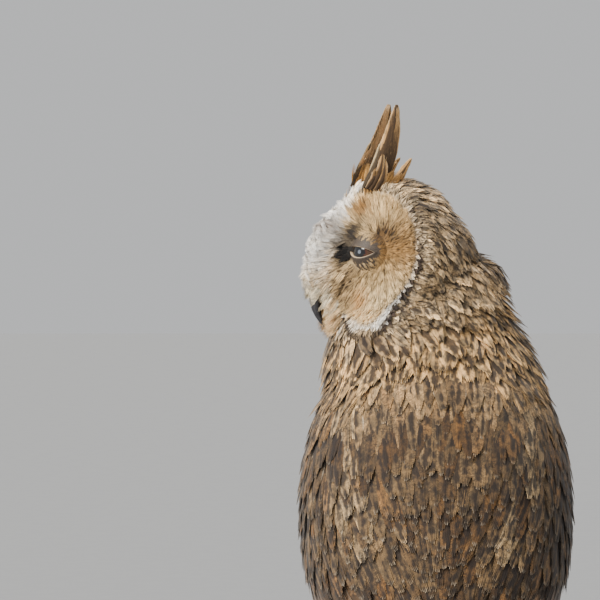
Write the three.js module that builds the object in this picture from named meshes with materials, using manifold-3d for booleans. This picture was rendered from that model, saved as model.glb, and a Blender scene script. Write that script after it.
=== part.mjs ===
// A long-eared owl, life size, standing upright on flat ground and looking over its left shoulder.
// Units are millimetres. The breast faces -Y, the owl's own left is +X, and up is +Z.
// The head is turned, so its parts are built in a frame of their own: X forward, Y to its left, Z up.
import * as THREE from "three";
import { mergeVertices } from "three/addons/utils/BufferGeometryUtils.js";
import Module from "manifold-3d";

const wasm = await Module();
wasm.setup();

// The space between two pieces that touch, how far a form grows to leave it on a slant, and how thick the
// vanes are.
const GAP = 0.3;
const CLEAR = 0.42;
const VANE = 0.6;
const TUFT_VANE = 0.7;

// Body plumage without the wings, as level sections: height, half width, half depth, and the centre's place.
const BODY_SECTIONS = [
  { z: 50, wide: 6, deep: 6, x: 0, y: 55 },
  { z: 56, wide: 16, deep: 14, x: 0, y: 52 },
  { z: 66, wide: 27, deep: 26, x: 0, y: 44 },
  { z: 80, wide: 38, deep: 37, x: 0, y: 33 },
  { z: 96, wide: 47, deep: 46, x: 0, y: 23 },
  { z: 114, wide: 54, deep: 54, x: 0, y: 13 },
  { z: 134, wide: 59, deep: 60, x: 0, y: 5 },
  { z: 158, wide: 61, deep: 62, x: 0, y: -1 },
  { z: 184, wide: 59.5, deep: 59, x: 0, y: -5 },
  { z: 206, wide: 57, deep: 53, x: 0, y: -8 },
  { z: 226, wide: 55, deep: 47, x: 3, y: -10 },
  { z: 240, wide: 49.5, deep: 43, x: 5, y: -10 },
  { z: 254, wide: 42, deep: 38, x: 4, y: -9 },
  { z: 264, wide: 36, deep: 33, x: 1, y: -8 },
  { z: 273, wide: 27, deep: 26, x: -2, y: -8 },
  { z: 280, wide: 12, deep: 15, x: -10, y: -8 },
];
const NECK_CUT = 222;

// The cloak is the outer surface that the folded wings lie on, as level sections from shoulder to wing tip.
// front and back are the angles, from straight aside, at which a wing starts and ends at that height.
const CLOAK_SECTIONS = [
  { z: 230, wide: 46, deep: 44, y: -8, front: -34, back: 52 },
  { z: 214, wide: 57, deep: 54, y: -7, front: -32, back: 58 },
  { z: 184, wide: 64.5, deep: 63, y: -3, front: -27, back: 64 },
  { z: 154, wide: 67, deep: 68, y: 3, front: -20, back: 71 },
  { z: 130, wide: 66, deep: 68, y: 10, front: -10, back: 79 },
  { z: 104, wide: 60.5, deep: 62, y: 21, front: 4, back: 86 },
  { z: 80, wide: 51.5, deep: 53, y: 38, front: 18, back: 87 },
  { z: 55, wide: 42, deep: 40, y: 60, front: 34, back: 88 },
  { z: 30, wide: 34, deep: 30, y: 80.5, front: 48, back: 90 },
  { z: 4, wide: 30, deep: 22, y: 106, front: 54, back: 90 },
];

// The head: where its middle is, how far it turns past square to the left, and its reach from the middle.
const HEAD_AT = new THREE.Vector3(21, -7.5, 275.5);
const HEAD_TURN = 12;
const HEAD = { front: 44, back: 44, side: 43, top: 40, bottom: 40 };
// Swellings and hollows on both sides of the head's middle plane: how far out they stand, the angle above the
// middle of the head at which they lie, and how far they reach up and down and to the sides.
const FACE_RELIEF = {
  forehead: { out: -4.2, up: 40, tall: 20, broad: 24 },
  muzzle: { out: 4.5, up: -17, tall: 9, broad: 13 },
  mouth: { out: -7, up: -37, tall: 9, broad: 12 },
  chin: { out: 7, up: -56, tall: 13, broad: 40 },
};
const NAPE = { out: -4, up: 34, tall: 18 };
// Each facial disc is a dish round its eye. Angles are seen from the middle of the head.
const DISC = { aside: 47.5, up: 4, angle: 53, taller: 9, depth: 8.5, rim: 3 };
const EYE = { forward: 15.5, aside: 20.5, up: 2.5, radius: 9.7, turnedOut: 30, lidThick: 1 };
const EYE_OPENING = { long: 17, above: 3.2, below: 4.6, tilt: 14 };
// The bills follow lines in the head's middle plane. Width and depth are half sizes, at the root and the tip.
const BILL = {
  line: [[33, 0, -10], [38.5, 0, -17], [39.2, 0, -24.5], [36.2, 0, -34.5]],
  width: 5.6, depth: 5.6, tip: 0.6,
};
const LOWER_BILL = { line: [[27, 0, -19], [32, 0, -25], [35, 0, -31]], width: [4.6, 1.8], depth: [4, 1.6] };
const NOSTRIL = { at: [42, 3.9, -20.5], radius: 1.1 };
// Ear tufts: where they stand, how their feathers fan out from front to rear, and how far these bow out and
// lie apart.
const TUFT = {
  root: [13.5, 12, 35], tip: [2, 9.5, 75.5], faces: [0.25, 1, -0.1], feathers: 6, halfWidth: 3.5,
  fan: [-4.8, 4.2], shares: [0.62, 1.02], layers: [2.6, -2.6], bowBack: 2, bowOut: 2.2,
  rear: { place: 9, share: 0.46, layer: -3.7, halfWidth: 3 },
  plug: { half: [7.5, 4.6, 5], behind: 1.5, below: 1 },
};

// Wing, tail and leg sizes.
const WING_TOP = 226;
const WING_TIP = 6;
const ARM = { top: 224, bottom: 108, over: -1.2, edge: -5, under: -10.5 };
const TAIL = {
  from: 104, to: 4, slope: 0.72, passes: { y: 96, z: 30 }, sag: 0.004, step: 0.95,
  feathers: 12, rootX: [3, 9], tipX: [3, 23], halfWidth: 10, shorter: 5,
};
const TAIL_COVERTS = { count: 5, from: 102, to: 62, shorter: 8, x: [10, 15], halfWidth: 8, lift: [1.5, 3.6] };
const TAIL_STEM = { z: [90, 66, 40], lift: [-4, -3.4, -3], halfWidth: [17, 13], halfDepth: [9, 3] };
const LEG = {
  x: 24, y: 3, ankle: 24, thigh: [[21, -1, 104], [24, -2, 72]], wide: 21, narrow: 9, deeper: 1.12,
};
const TOES = [
  { name: "inner", heading: -10, length: 27 },
  { name: "middle", heading: 20, length: 31 },
  { name: "outer", heading: 118, length: 24 },
  { name: "rear", heading: 196, length: 17 },
];
const TOE = { thick: 4.4, thin: 3.8, top: 13, knuckle: { out: 8, z: 9 }, start: 7, axis: 3.4 };
const FOOT_PAD = { z: [16, 8], radius: 8 };
const CLAW = { length: 13, thick: 2.1, tip: 0.35, arch: 2, tipZ: 0.7 };

const degrees = THREE.MathUtils.degToRad;
const mix = THREE.MathUtils.lerp;
const clamp = THREE.MathUtils.clamp;
const smooth = (from, to, value) => THREE.MathUtils.smoothstep(value, from, to);
const bell = (value, width) => Math.exp(-((value / width) ** 2));
const vector = (x, y, z) => new THREE.Vector3(x, y, z);

// A seeded draw between -1 and 1, so that every build is the same.
let seed = 7;
function draw() {
  seed = (seed * 16807) % 2147483647;
  return (seed / 2147483647) * 2 - 1;
}

const MATERIALS = {
  plumage: new THREE.MeshStandardMaterial({ color: 0x8a6f52, roughness: 0.95, metalness: 0 }),
  wing: new THREE.MeshStandardMaterial({ color: 0x5b4735, roughness: 0.9, metalness: 0 }),
  face: new THREE.MeshStandardMaterial({ color: 0xc0a179, roughness: 0.95, metalness: 0 }),
  tuft: new THREE.MeshStandardMaterial({ color: 0x6b4f38, roughness: 0.9, metalness: 0 }),
  leg: new THREE.MeshStandardMaterial({ color: 0xc79a62, roughness: 0.95, metalness: 0 }),
  horn: new THREE.MeshStandardMaterial({ color: 0x1d1a19, roughness: 0.4, metalness: 0 }),
  eye: new THREE.MeshStandardMaterial({ color: 0xb4550f, roughness: 0.08, metalness: 0 }),
};

// A closed geometry as a solid that can be cut and joined.
function solidOf(geometry) {
  const bare = geometry.clone();
  bare.deleteAttribute("normal");
  bare.deleteAttribute("uv");
  const merged = mergeVertices(bare, 1e-4);
  return new wasm.Manifold(
    new wasm.Mesh({
      numProp: 3,
      vertProperties: new Float32Array(merged.attributes.position.array),
      triVerts: new Uint32Array(merged.index.array),
    }),
  );
}

function joined(solids) {
  return solids.reduce((sum, one) => sum.add(one));
}

// The largest closed surface of a solid, which drops loose scraps and fills sealed hollows.
function largest(solid) {
  const parts = solid.decompose();
  return parts.reduce((best, one) => (one.volume() > best.volume() ? one : best));
}

function meshOf(name, solid, material) {
  const made = largest(solid).getMesh();
  const geometry = new THREE.BufferGeometry();
  geometry.setAttribute("position", new THREE.BufferAttribute(new Float32Array(made.vertProperties), 3));
  geometry.setIndex(new THREE.BufferAttribute(new Uint32Array(made.triVerts), 1));
  geometry.computeVertexNormals();
  const mesh = new THREE.Mesh(geometry, material);
  mesh.name = name;
  return mesh;
}

// One section between the stations of a list, on a smooth curve through them.
function sectionAt(stations, z) {
  const rising = stations[0].z < stations[1].z ? stations : [...stations].reverse();
  const last = rising.length - 2;
  const low = Math.min(last, Math.max(0, rising.findIndex((s) => s.z > z) - 1));
  const i = z >= rising[last + 1].z ? last : low;
  const [a, b] = [rising[i], rising[i + 1]];
  const [before, after] = [rising[Math.max(0, i - 1)], rising[Math.min(last + 1, i + 2)]];
  const t = clamp((z - a.z) / (b.z - a.z), 0, 1);
  const between = (key) => {
    const slopeA = ((b[key] - before[key]) / (b.z - before.z)) * (b.z - a.z);
    const slopeB = ((after[key] - a[key]) / (after.z - a.z)) * (b.z - a.z);
    const square = t * t;
    const cube = square * t;
    return (
      (2 * cube - 3 * square + 1) * a[key] +
      (cube - 2 * square + t) * slopeA +
      (3 * square - 2 * cube) * b[key] +
      (cube - square) * slopeB
    );
  };
  return Object.fromEntries(Object.keys(a).map((key) => [key, between(key)]));
}

// The body's whole plumage as one closed form, grown outwards by a distance.
function bodySolid(grown) {
  const [low, high] = [BODY_SECTIONS[0].z - grown, BODY_SECTIONS.at(-1).z + grown];
  const geometry = new THREE.SphereGeometry(1, 28, 20);
  const place = geometry.attributes.position;
  for (let i = 0; i < place.count; i++) {
    const [x, height, y] = [place.getX(i), place.getY(i), -place.getZ(i)];
    const share = Math.acos(clamp(-height, -1, 1)) / Math.PI;
    const z = mix(low, high, share);
    const section = sectionAt(BODY_SECTIONS, clamp(z, low + grown, high - grown));
    const round = Math.hypot(x, y);
    const [toX, toY] = round < 1e-6 ? [0, 0] : [x / round, y / round];
    place.setXYZ(i, section.x + toX * (section.wide + grown), section.y + toY * (section.deep + grown), z);
  }
  return solidOf(geometry);
}

// A round bar along a curve. Its half sizes across and in the curve's plane are functions of the share of its
// length.
function bar(curve, across, inPlane, side, rounds = 12, steps = 10) {
  const geometry = new THREE.CylinderGeometry(1, 1, 1, rounds, steps);
  const place = geometry.attributes.position;
  for (let i = 0; i < place.count; i++) {
    const share = place.getY(i) + 0.5;
    const along = curve.getTangent(share);
    const sideways = side.clone().addScaledVector(along, -side.dot(along)).normalize();
    const outward = new THREE.Vector3().crossVectors(along, sideways);
    const at = curve.getPoint(share);
    at.addScaledVector(sideways, place.getX(i) * across(share));
    at.addScaledVector(outward, -place.getZ(i) * inPlane(share));
    place.setXYZ(i, at.x, at.y, at.z);
  }
  return facingOut(solidOf(geometry), geometry);
}

// Turns a closed geometry's faces round where they point inwards.
function facingOut(solid, geometry) {
  if (solid.volume() > 0) return solid;
  const order = geometry.index.array;
  for (let i = 0; i < order.length; i += 3) [order[i + 1], order[i + 2]] = [order[i + 2], order[i + 1]];
  return solidOf(geometry);
}

// A thin closed sheet over a grid, with both faces split alike. at(i, j) gives its upper and lower point.
function sheet(rows, columns, at) {
  const points = [];
  const faces = [];
  const upper = (i, j) => (i * (columns + 1) + j) * 2;
  const quad = (a, b, c, d) => faces.push(a, b, c, a, c, d);
  for (let i = 0; i <= rows; i++) {
    for (let j = 0; j <= columns; j++) at(i / rows, j / columns).forEach((p) => points.push(p.x, p.y, p.z));
  }
  for (let i = 0; i < rows; i++) {
    for (let j = 0; j < columns; j++) {
      const [a, b, c, d] = [upper(i, j), upper(i + 1, j), upper(i + 1, j + 1), upper(i, j + 1)];
      quad(a, b, c, d);
      faces.push(a + 1, c + 1, b + 1, a + 1, d + 1, c + 1);
    }
  }
  for (let i = 0; i < rows; i++) {
    quad(upper(i, 0), upper(i, 0) + 1, upper(i + 1, 0) + 1, upper(i + 1, 0));
    quad(upper(i + 1, columns), upper(i + 1, columns) + 1, upper(i, columns) + 1, upper(i, columns));
  }
  for (let j = 0; j < columns; j++) {
    quad(upper(0, j + 1), upper(0, j + 1) + 1, upper(0, j) + 1, upper(0, j));
    quad(upper(rows, j), upper(rows, j) + 1, upper(rows, j + 1) + 1, upper(rows, j + 1));
  }
  const geometry = new THREE.BufferGeometry();
  geometry.setAttribute("position", new THREE.Float32BufferAttribute(points, 3));
  geometry.setIndex(faces);
  return facingOut(solidOf(geometry), geometry);
}

// A feather's half width along its length, as shares of its length and of its widest.
const LONG_VANE = [[0, 0.62], [0.3, 0.9], [0.68, 1], [0.9, 0.74], [1, 0.22]];
const SHORT_VANE = [[0, 0.6], [0.45, 0.96], [0.83, 0.86], [1, 0.25]];

// One feather. on(share, across) gives the vane's middle surface and its outward direction there.
function vane(on, stations = LONG_VANE, thick = VANE) {
  const rows = stations.length - 1;
  return sheet(rows, 1, (row, column) => {
    const [share, width] = stations[Math.round(row * rows)];
    const spot = on(share, (column * 2 - 1) * width);
    const half = (thick / 2) * mix(1.15, 0.7, share);
    return [
      spot.at.clone().addScaledVector(spot.out, half),
      spot.at.clone().addScaledVector(spot.out, -half),
    ];
  });
}

// A point on the cloak. side is 1 for the left wing and -1 for the right. s runs down it and t from front to
// back.
function cloakSpot(side, s, t) {
  const z = mix(WING_TOP, WING_TIP, s);
  const section = sectionAt(CLOAK_SECTIONS, z);
  const angle = degrees(mix(section.front, section.back, t));
  return vector(side * section.wide * Math.cos(angle), section.y + section.deep * Math.sin(angle), z);
}

const atHeight = (z) => (WING_TOP - z) / (WING_TOP - WING_TIP);

// The cloak's outward and backward directions at a place on it, from its slope over a small distance.
const NUDGE = 0.01;
function cloakFrame(side, s, t) {
  const at = cloakSpot(side, s, t);
  const down = cloakSpot(side, s + NUDGE, t).sub(cloakSpot(side, s - NUDGE, t));
  const back = cloakSpot(side, s, t + NUDGE).sub(cloakSpot(side, s, t - NUDGE));
  const out = new THREE.Vector3().crossVectors(back, down).multiplyScalar(-side).normalize();
  return { at, out, back: back.clone().normalize(), perShare: back.length() / (2 * NUDGE) };
}

// A wing feather that lies on the cloak from one place to another. Its root stands at its lift over the
// cloak, and the feather rises from there to its tip. Feathers with a shared plane are stacked flat in it.
function wingFeather(side, feather) {
  const on = (share, across) => {
    const s = mix(atHeight(feather.rootZ), atHeight(feather.tipZ), share);
    const middle = mix(feather.rootT, feather.tipT, share);
    const aside = across * feather.halfWidth;
    const tilt = feather.tilt + (feather.twist ?? 0) * smooth(0.5, 0.9, s);
    const lift = feather.lift + feather.rise * share ** 0.6 - tilt * aside;
    const carrier = cloakFrame(side, s, feather.plane ?? middle);
    if (feather.plane !== undefined) {
      const offset = (middle - feather.plane) * carrier.perShare + aside;
      const at = carrier.at.addScaledVector(carrier.back, offset).addScaledVector(carrier.out, lift);
      return { at, out: carrier.out };
    }
    const spot = cloakFrame(side, s, middle + aside / carrier.perShare);
    return { at: spot.at.addScaledVector(spot.out, lift), out: spot.out };
  };
  return vane(on, feather.long ? LONG_VANE : SHORT_VANE);
}

// A row of feathers side by side. Each value is a pair, for the row's front end and its back end.
function featherRow(side, row) {
  return Array.from({ length: row.count }, (_, k) => {
    const share = row.count > 1 ? k / (row.count - 1) : 0;
    const between = (pair) => mix(pair[0], pair[1], share);
    return wingFeather(side, {
      rootT: between(row.rootT),
      tipT: between(row.tipT),
      rootZ: between(row.rootZ) + draw() * row.vary,
      tipZ: between(row.tipZ) + draw() * row.vary,
      halfWidth: between(row.halfWidth),
      lift: between(row.lift),
      rise: row.rise,
      tilt: row.tilt,
      twist: row.twist,
      plane: row.plane,
      long: row.long,
    });
  });
}

// Layers of the folded wing, from the flight feathers underneath to the small feathers of the shoulder.
const PRIMARY = {
  count: 6, rootT: [0.36, 0.14], tipT: [0.5, 0.34], rootZ: [128, 128], tipZ: [60, 7], vary: 1,
  halfWidth: [9, 8.5], lift: [-3, -7.5], rise: 0, tilt: 0, twist: 0.3, plane: 0.36, long: true,
};
const SECONDARY = {
  count: 8, rootT: [0.16, 0.84], tipT: [0.16, 0.9], rootZ: [132, 140], tipZ: [80, 84], vary: 1.5,
  halfWidth: [9, 8.5], lift: [-3.2, -3.2], rise: 4.3, tilt: 0.12, long: true,
};
const GREATER_COVERT = {
  count: 8, rootT: [0.1, 0.8], tipT: [0.1, 0.82], rootZ: [148, 158], tipZ: [112, 120], vary: 1.5,
  halfWidth: [7.5, 8.5], lift: [-3.2, -3.2], rise: 6.6, tilt: 0.09,
};
const MEDIAN_COVERT = {
  count: 7, rootT: [0.06, 0.72], tipT: [0.06, 0.74], rootZ: [168, 180], tipZ: [136, 146], vary: 1.5,
  halfWidth: [8, 9], lift: [-3.2, -3.2], rise: 6.6, tilt: 0.08,
};
const LESSER_COVERT = {
  count: 6, rootT: [0.06, 0.62], tipT: [0.06, 0.64], rootZ: [190, 200], tipZ: [160, 170], vary: 1.5,
  halfWidth: [8, 9], lift: [-3.2, -3.2], rise: 6.6, tilt: 0.08,
};
const SHOULDER_COVERT = {
  count: 5, rootT: [0.06, 0.56], tipT: [0.06, 0.58], rootZ: [209, 213], tipZ: [183, 190], vary: 1,
  halfWidth: [8, 9], lift: [-3.2, -3.2], rise: 6.6, tilt: 0.07,
};
const LOWER_SCAPULAR = {
  count: 3, rootT: [0.74, 0.94], tipT: [0.72, 0.93], rootZ: [166, 162], tipZ: [122, 116], vary: 1,
  halfWidth: [8.5, 8.5], lift: [-3.2, -3.2], rise: 10.4, tilt: 0.09,
};
const UPPER_SCAPULAR = {
  count: 4, rootT: [0.6, 0.92], tipT: [0.6, 0.9], rootZ: [200, 196], tipZ: [150, 146], vary: 1,
  halfWidth: [8.5, 8.5], lift: [-3.2, -3.2], rise: 10.4, tilt: 0.09,
};
const ALULA = {
  count: 2, rootT: [0.02, 0.02], tipT: [0.04, 0.05], rootZ: [170, 150], tipZ: [138, 110], vary: 0,
  halfWidth: [4, 4.5], lift: [-3.4, -3.4], rise: 4.6, tilt: 0,
};

// The wing's arm under its feathers, a slab that thins towards its edges and ends.
function wingArm(side) {
  const [top, bottom] = [atHeight(ARM.top), atHeight(ARM.bottom)];
  return sheet(7, 6, (row, column) => {
    const spot = cloakFrame(side, mix(top, bottom, row), mix(-0.01, 0.99, column));
    const ends = smooth(-0.1, 0.2, row) * (1 - smooth(0.72, 1, row));
    const edges = smooth(-0.3, 0.2, column) * (1 - smooth(0.8, 1.3, column));
    return [
      spot.at.clone().addScaledVector(spot.out, mix(ARM.edge, ARM.over, ends * edges)),
      spot.at.clone().addScaledVector(spot.out, ARM.under),
    ];
  });
}

function wing(side, body) {
  const rows = [
    PRIMARY, SECONDARY, GREATER_COVERT, MEDIAN_COVERT, LESSER_COVERT, SHOULDER_COVERT,
    LOWER_SCAPULAR, UPPER_SCAPULAR, ALULA,
  ];
  const feathers = rows.flatMap((row) => featherRow(side, row));
  return joined([wingArm(side), ...feathers]).subtract(body);
}

// The tail's fan. Lower feathers stand further out and a little shorter.
const TAIL_DOWN = vector(0, TAIL.slope, -1).normalize();
const TAIL_OUT = vector(0, 1, TAIL.slope).normalize();

function tailSpot(x, z, lift) {
  const y = TAIL.passes.y - (z - TAIL.passes.z) * TAIL.slope;
  return vector(x, y, z).addScaledVector(TAIL_OUT, lift - TAIL.sag * x * x);
}

function tailFeather(k) {
  const side = k % 2 ? -1 : 1;
  const pair = Math.floor(k / 2);
  const pairs = TAIL.feathers / 2 - 1;
  const spread = pair / pairs;
  const lift = -TAIL.step * pair + (k === 0 ? TAIL.step : 0);
  const tipX = side * mix(...TAIL.tipX, spread);
  const rootX = side * mix(...TAIL.rootX, spread);
  const tipZ = TAIL.to + TAIL.shorter * spread ** 2;
  return vane((share, across) => {
    const z = mix(TAIL.from, tipZ, share);
    const middle = mix(rootX, tipX, share);
    return { at: tailSpot(middle + across * TAIL.halfWidth, z, lift), out: TAIL_OUT.clone() };
  });
}

// Short feathers that cover the roots of the tail above.
function tailCovert(k) {
  const middle = (TAIL_COVERTS.count - 1) / 2;
  const place = k / middle - 1;
  const under = TAIL.step * (Math.abs(k - middle) - (place > 0 ? 0.5 : 0));
  return vane((share, across) => {
    const z = mix(TAIL_COVERTS.from, TAIL_COVERTS.to + TAIL_COVERTS.shorter * Math.abs(place), share);
    const x = place * mix(...TAIL_COVERTS.x, share) + across * TAIL_COVERTS.halfWidth;
    return { at: tailSpot(x, z, mix(...TAIL_COVERTS.lift, share) - under), out: TAIL_OUT.clone() };
  });
}

function tail(body) {
  const line = new THREE.CatmullRomCurve3(TAIL_STEM.z.map((z, k) => tailSpot(0, z, TAIL_STEM.lift[k])));
  const across = (share) => mix(...TAIL_STEM.halfWidth, share);
  const inPlane = (share) => mix(...TAIL_STEM.halfDepth, share);
  const stem = bar(line, across, inPlane, vector(1, 0, 0), 14, 6);
  const feathers = Array.from({ length: TAIL.feathers }, (_, k) => tailFeather(k));
  const coverts = Array.from({ length: TAIL_COVERTS.count }, (_, k) => tailCovert(k));
  return joined([stem, ...feathers, ...coverts]).subtract(body);
}

// The direction from the middle of the head to the middle of its left disc.
const DISC_AXIS = vector(
  Math.cos(degrees(DISC.aside)) * Math.cos(degrees(DISC.up)),
  Math.sin(degrees(DISC.aside)) * Math.cos(degrees(DISC.up)),
  Math.sin(degrees(DISC.up)),
);
const DISC_BACK = vector(-Math.sin(degrees(DISC.aside)), Math.cos(degrees(DISC.aside)), 0);
const DISC_UP = new THREE.Vector3().crossVectors(DISC_AXIS, DISC_BACK);
const discReach = (turned) => degrees(DISC.angle + DISC.taller * Math.sin(turned) ** 2);

// The head's reach from its middle in a direction on its left half. share is 0 at the disc's middle and 1 at
// its rim.
function headReach(to, share) {
  const x = to.x / (to.x > 0 ? HEAD.front : HEAD.back);
  const z = to.z / (to.z > 0 ? HEAD.top : HEAD.bottom);
  const plain = 1 / Math.hypot(x, to.y / HEAD.side, z);
  const offMiddle = to.y * plain;
  const dish = -DISC.depth * (1 - smooth(0.45, 1, share)) * smooth(1, 15, offMiddle);
  const rim = DISC.rim * bell(share - 1, 0.09) * smooth(0, 10, offMiddle);
  const rise = THREE.MathUtils.radToDeg(Math.asin(clamp(to.z, -1, 1)));
  const aside = THREE.MathUtils.radToDeg(Math.atan2(to.y, to.x));
  const relief = Object.values(FACE_RELIEF).map(
    ({ out, up, tall, broad }) => out * bell(rise - up, tall) * bell(aside, broad),
  );
  const nape = NAPE.out * bell(rise - NAPE.up, NAPE.tall) * smooth(0.3, 0.8, -to.x);
  return relief.reduce((sum, one) => sum + one, plain + dish + rim + nape);
}

// The head without its eyes. Its net is drawn round each disc, so that the rim is one clean ring.
const HEAD_RINGS = [0, 0.18, 0.34, 0.48, 0.6, 0.72, 0.82, 0.91, 1, 1.09, 1.2, 1.36, 1.56, 1.8];
function headForm(grown) {
  const around = 28;
  const rings = HEAD_RINGS.length;
  const geometry = new THREE.SphereGeometry(1, around, rings);
  const place = geometry.attributes.position;
  for (let ring = 0; ring <= rings; ring++) {
    for (let j = 0; j <= around; j++) {
      const turned = (j % around) * ((2 * Math.PI) / around);
      const share = ring < rings ? HEAD_RINGS[ring] : Math.PI / discReach(turned);
      const away = share * discReach(turned);
      const to = DISC_AXIS.clone().multiplyScalar(Math.cos(away));
      to.addScaledVector(DISC_BACK, Math.sin(away) * Math.cos(turned));
      to.addScaledVector(DISC_UP, Math.sin(away) * Math.sin(turned));
      const reach = headReach(to, share) + grown;
      place.setXYZ(ring * (around + 1) + j, to.x * reach, to.y * reach, to.z * reach);
    }
  }
  const half = facingOut(solidOf(geometry), geometry);
  const left = half.intersect(solidOf(new THREE.BoxGeometry(200, 200, 200)).translate([0, 100, 0]));
  return left.add(left.mirror([0, 1, 0]));
}

function ball(radius, at, detail = 3) {
  return solidOf(new THREE.IcosahedronGeometry(radius, detail)).translate([at.x, at.y, at.z]);
}

const eyeAt = (side) => vector(EYE.forward, side * EYE.aside, EYE.up);

// The almond opening between the lids, as a block that runs out along the eye's own line of sight.
function eyeOpening(side) {
  const half = EYE_OPENING.long / 2;
  const outline = new THREE.Shape();
  outline.moveTo(-half, 0);
  outline.quadraticCurveTo(0, EYE_OPENING.above * 2, half, 0);
  outline.quadraticCurveTo(0, -EYE_OPENING.below * 2, -half, 0);
  const geometry = new THREE.ExtrudeGeometry(outline, { depth: 12, bevelEnabled: false, curveSegments: 8 });
  const turn = side * degrees(EYE.turnedOut);
  geometry.rotateZ(side * degrees(EYE_OPENING.tilt));
  geometry.translate(0, 0, 3);
  geometry.rotateX(Math.PI / 2);
  geometry.rotateZ(Math.PI / 2);
  geometry.rotateZ(turn);
  const at = eyeAt(side);
  geometry.translate(at.x, at.y, at.z);
  return solidOf(geometry);
}

function head() {
  let solid = headForm(0);
  for (const side of [1, -1]) {
    solid = solid.add(ball(EYE.radius + GAP + EYE.lidThick, eyeAt(side)));
    solid = solid.subtract(ball(EYE.radius + GAP, eyeAt(side)));
    solid = solid.subtract(eyeOpening(side));
  }
  return solid;
}

// The hooked bar of the upper bill, grown outwards by a distance.
function billBar(grown) {
  const curve = new THREE.CatmullRomCurve3(BILL.line.map((at) => vector(...at)));
  const taper = (share) => mix(1, BILL.tip / BILL.width, share ** 1.6);
  const across = (share) => BILL.width * taper(share) + grown;
  const inPlane = (share) => BILL.depth * taper(share) + grown;
  return bar(curve, across, inPlane, vector(0, 1, 0), 10, 7);
}

// The upper bill, with the nostrils beside its ridge.
function upperBill(headGrown) {
  const { radius, at } = NOSTRIL;
  const nostrils = [1, -1].map((side) => ball(radius, vector(at[0], side * at[1], at[2]), 1));
  return nostrils.reduce((bill, nostril) => bill.subtract(nostril), billBar(0).subtract(headGrown));
}

// The lower bill closes behind the upper one. The line of the mouth is the gap between them.
function lowerBill(headGrown) {
  const { line, width, depth } = LOWER_BILL;
  const curve = new THREE.CatmullRomCurve3(line.map((at) => vector(...at)));
  const solid = bar(curve, (s) => mix(...width, s), (s) => mix(...depth, s), vector(0, 1, 0), 10, 5);
  return solid.subtract(headGrown).subtract(billBar(GAP));
}

// An ear tuft, feather by feather: long ones fan up from one root, and a short one stands behind.
function earTuft(side, headGrown) {
  const onSide = ([x, y, z]) => vector(x, side * y, z);
  const root = onSide(TUFT.root);
  const along = onSide(TUFT.tip).sub(root);
  const out = onSide(TUFT.faces).normalize();
  const back = new THREE.Vector3().crossVectors(out, along).normalize();
  if (back.x > 0) back.negate();
  const feather = ({ place, share: reach, layer, halfWidth }) =>
    vane((share, across) => {
      const bow = Math.sin(Math.PI * share);
      const fan = place * mix(1, 0.45, share ** 2) + across * halfWidth;
      const at = root.clone().addScaledVector(along, share * reach);
      at.addScaledVector(back, fan + TUFT.bowBack * bow);
      at.addScaledVector(out, layer + TUFT.bowOut * bow);
      return { at, out: out.clone() };
    }, LONG_VANE, TUFT_VANE);
  const feathers = Array.from({ length: TUFT.feathers }, (_, k) => {
    const order = k / (TUFT.feathers - 1);
    const share = mix(...TUFT.shares, smooth(0, 0.75, order));
    return feather({
      place: mix(...TUFT.fan, order), share, layer: mix(...TUFT.layers, order), halfWidth: TUFT.halfWidth,
    });
  });
  const plug = solidOf(new THREE.IcosahedronGeometry(1, 2))
    .scale(TUFT.plug.half)
    .translate([root.x - TUFT.plug.behind, root.y, root.z - TUFT.plug.below]);
  return joined([plug, ...feathers, feather(TUFT.rear)]).subtract(headGrown);
}

// A feathered thigh and shank.
function leg(side, body) {
  const curve = new THREE.CatmullRomCurve3([
    ...LEG.thigh.map(([x, y, z]) => vector(side * x, y, z)),
    vector(side * LEG.x, LEG.y, LEG.ankle + GAP / 2),
  ]);
  const across = (share) => mix(LEG.wide, LEG.narrow, smooth(0.1, 0.95, share));
  const inPlane = (share) => across(share) * LEG.deeper;
  return bar(curve, across, inPlane, vector(1, 0, 0), 12, 6)
    .intersect(slab(LEG.ankle + GAP / 2, 200))
    .subtract(body);
}

// A wide level block between two heights.
function slab(low, high) {
  const block = new THREE.BoxGeometry(400, 400, high - low);
  return solidOf(block).translate([0, 0, (low + high) / 2]);
}

function toeHeading(side, heading) {
  const angle = degrees(heading);
  return vector(side * Math.sin(angle), -Math.cos(angle), 0);
}

function toeCurve(side, toe) {
  const from = vector(side * LEG.x, LEG.y, TOE.top);
  const to = toeHeading(side, toe.heading);
  const reach = TOE.start + toe.length;
  const { out, z } = TOE.knuckle;
  return new THREE.CatmullRomCurve3([
    from,
    from.clone().addScaledVector(to, out).setZ(z),
    from.clone().addScaledVector(to, mix(out, reach, 0.55)).setZ(TOE.axis + 0.4),
    from.clone().addScaledVector(to, reach).setZ(TOE.axis),
  ]);
}

function foot(side) {
  const heights = [LEG.ankle - GAP / 2, ...FOOT_PAD.z];
  const shank = new THREE.CatmullRomCurve3(heights.map((z) => vector(side * LEG.x, LEG.y, z)));
  const thick = (share) => mix(LEG.narrow, FOOT_PAD.radius, share);
  const pad = bar(shank, thick, thick, vector(1, 0, 0), 10, 3);
  const toes = TOES.map((toe) => {
    const half = (share) => mix(TOE.thick, TOE.thin, share);
    return bar(toeCurve(side, toe), half, half, vector(0, 0, 1), 7, 5);
  });
  return joined([pad, ...toes]).intersect(slab(0, LEG.ankle - GAP / 2));
}

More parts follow.
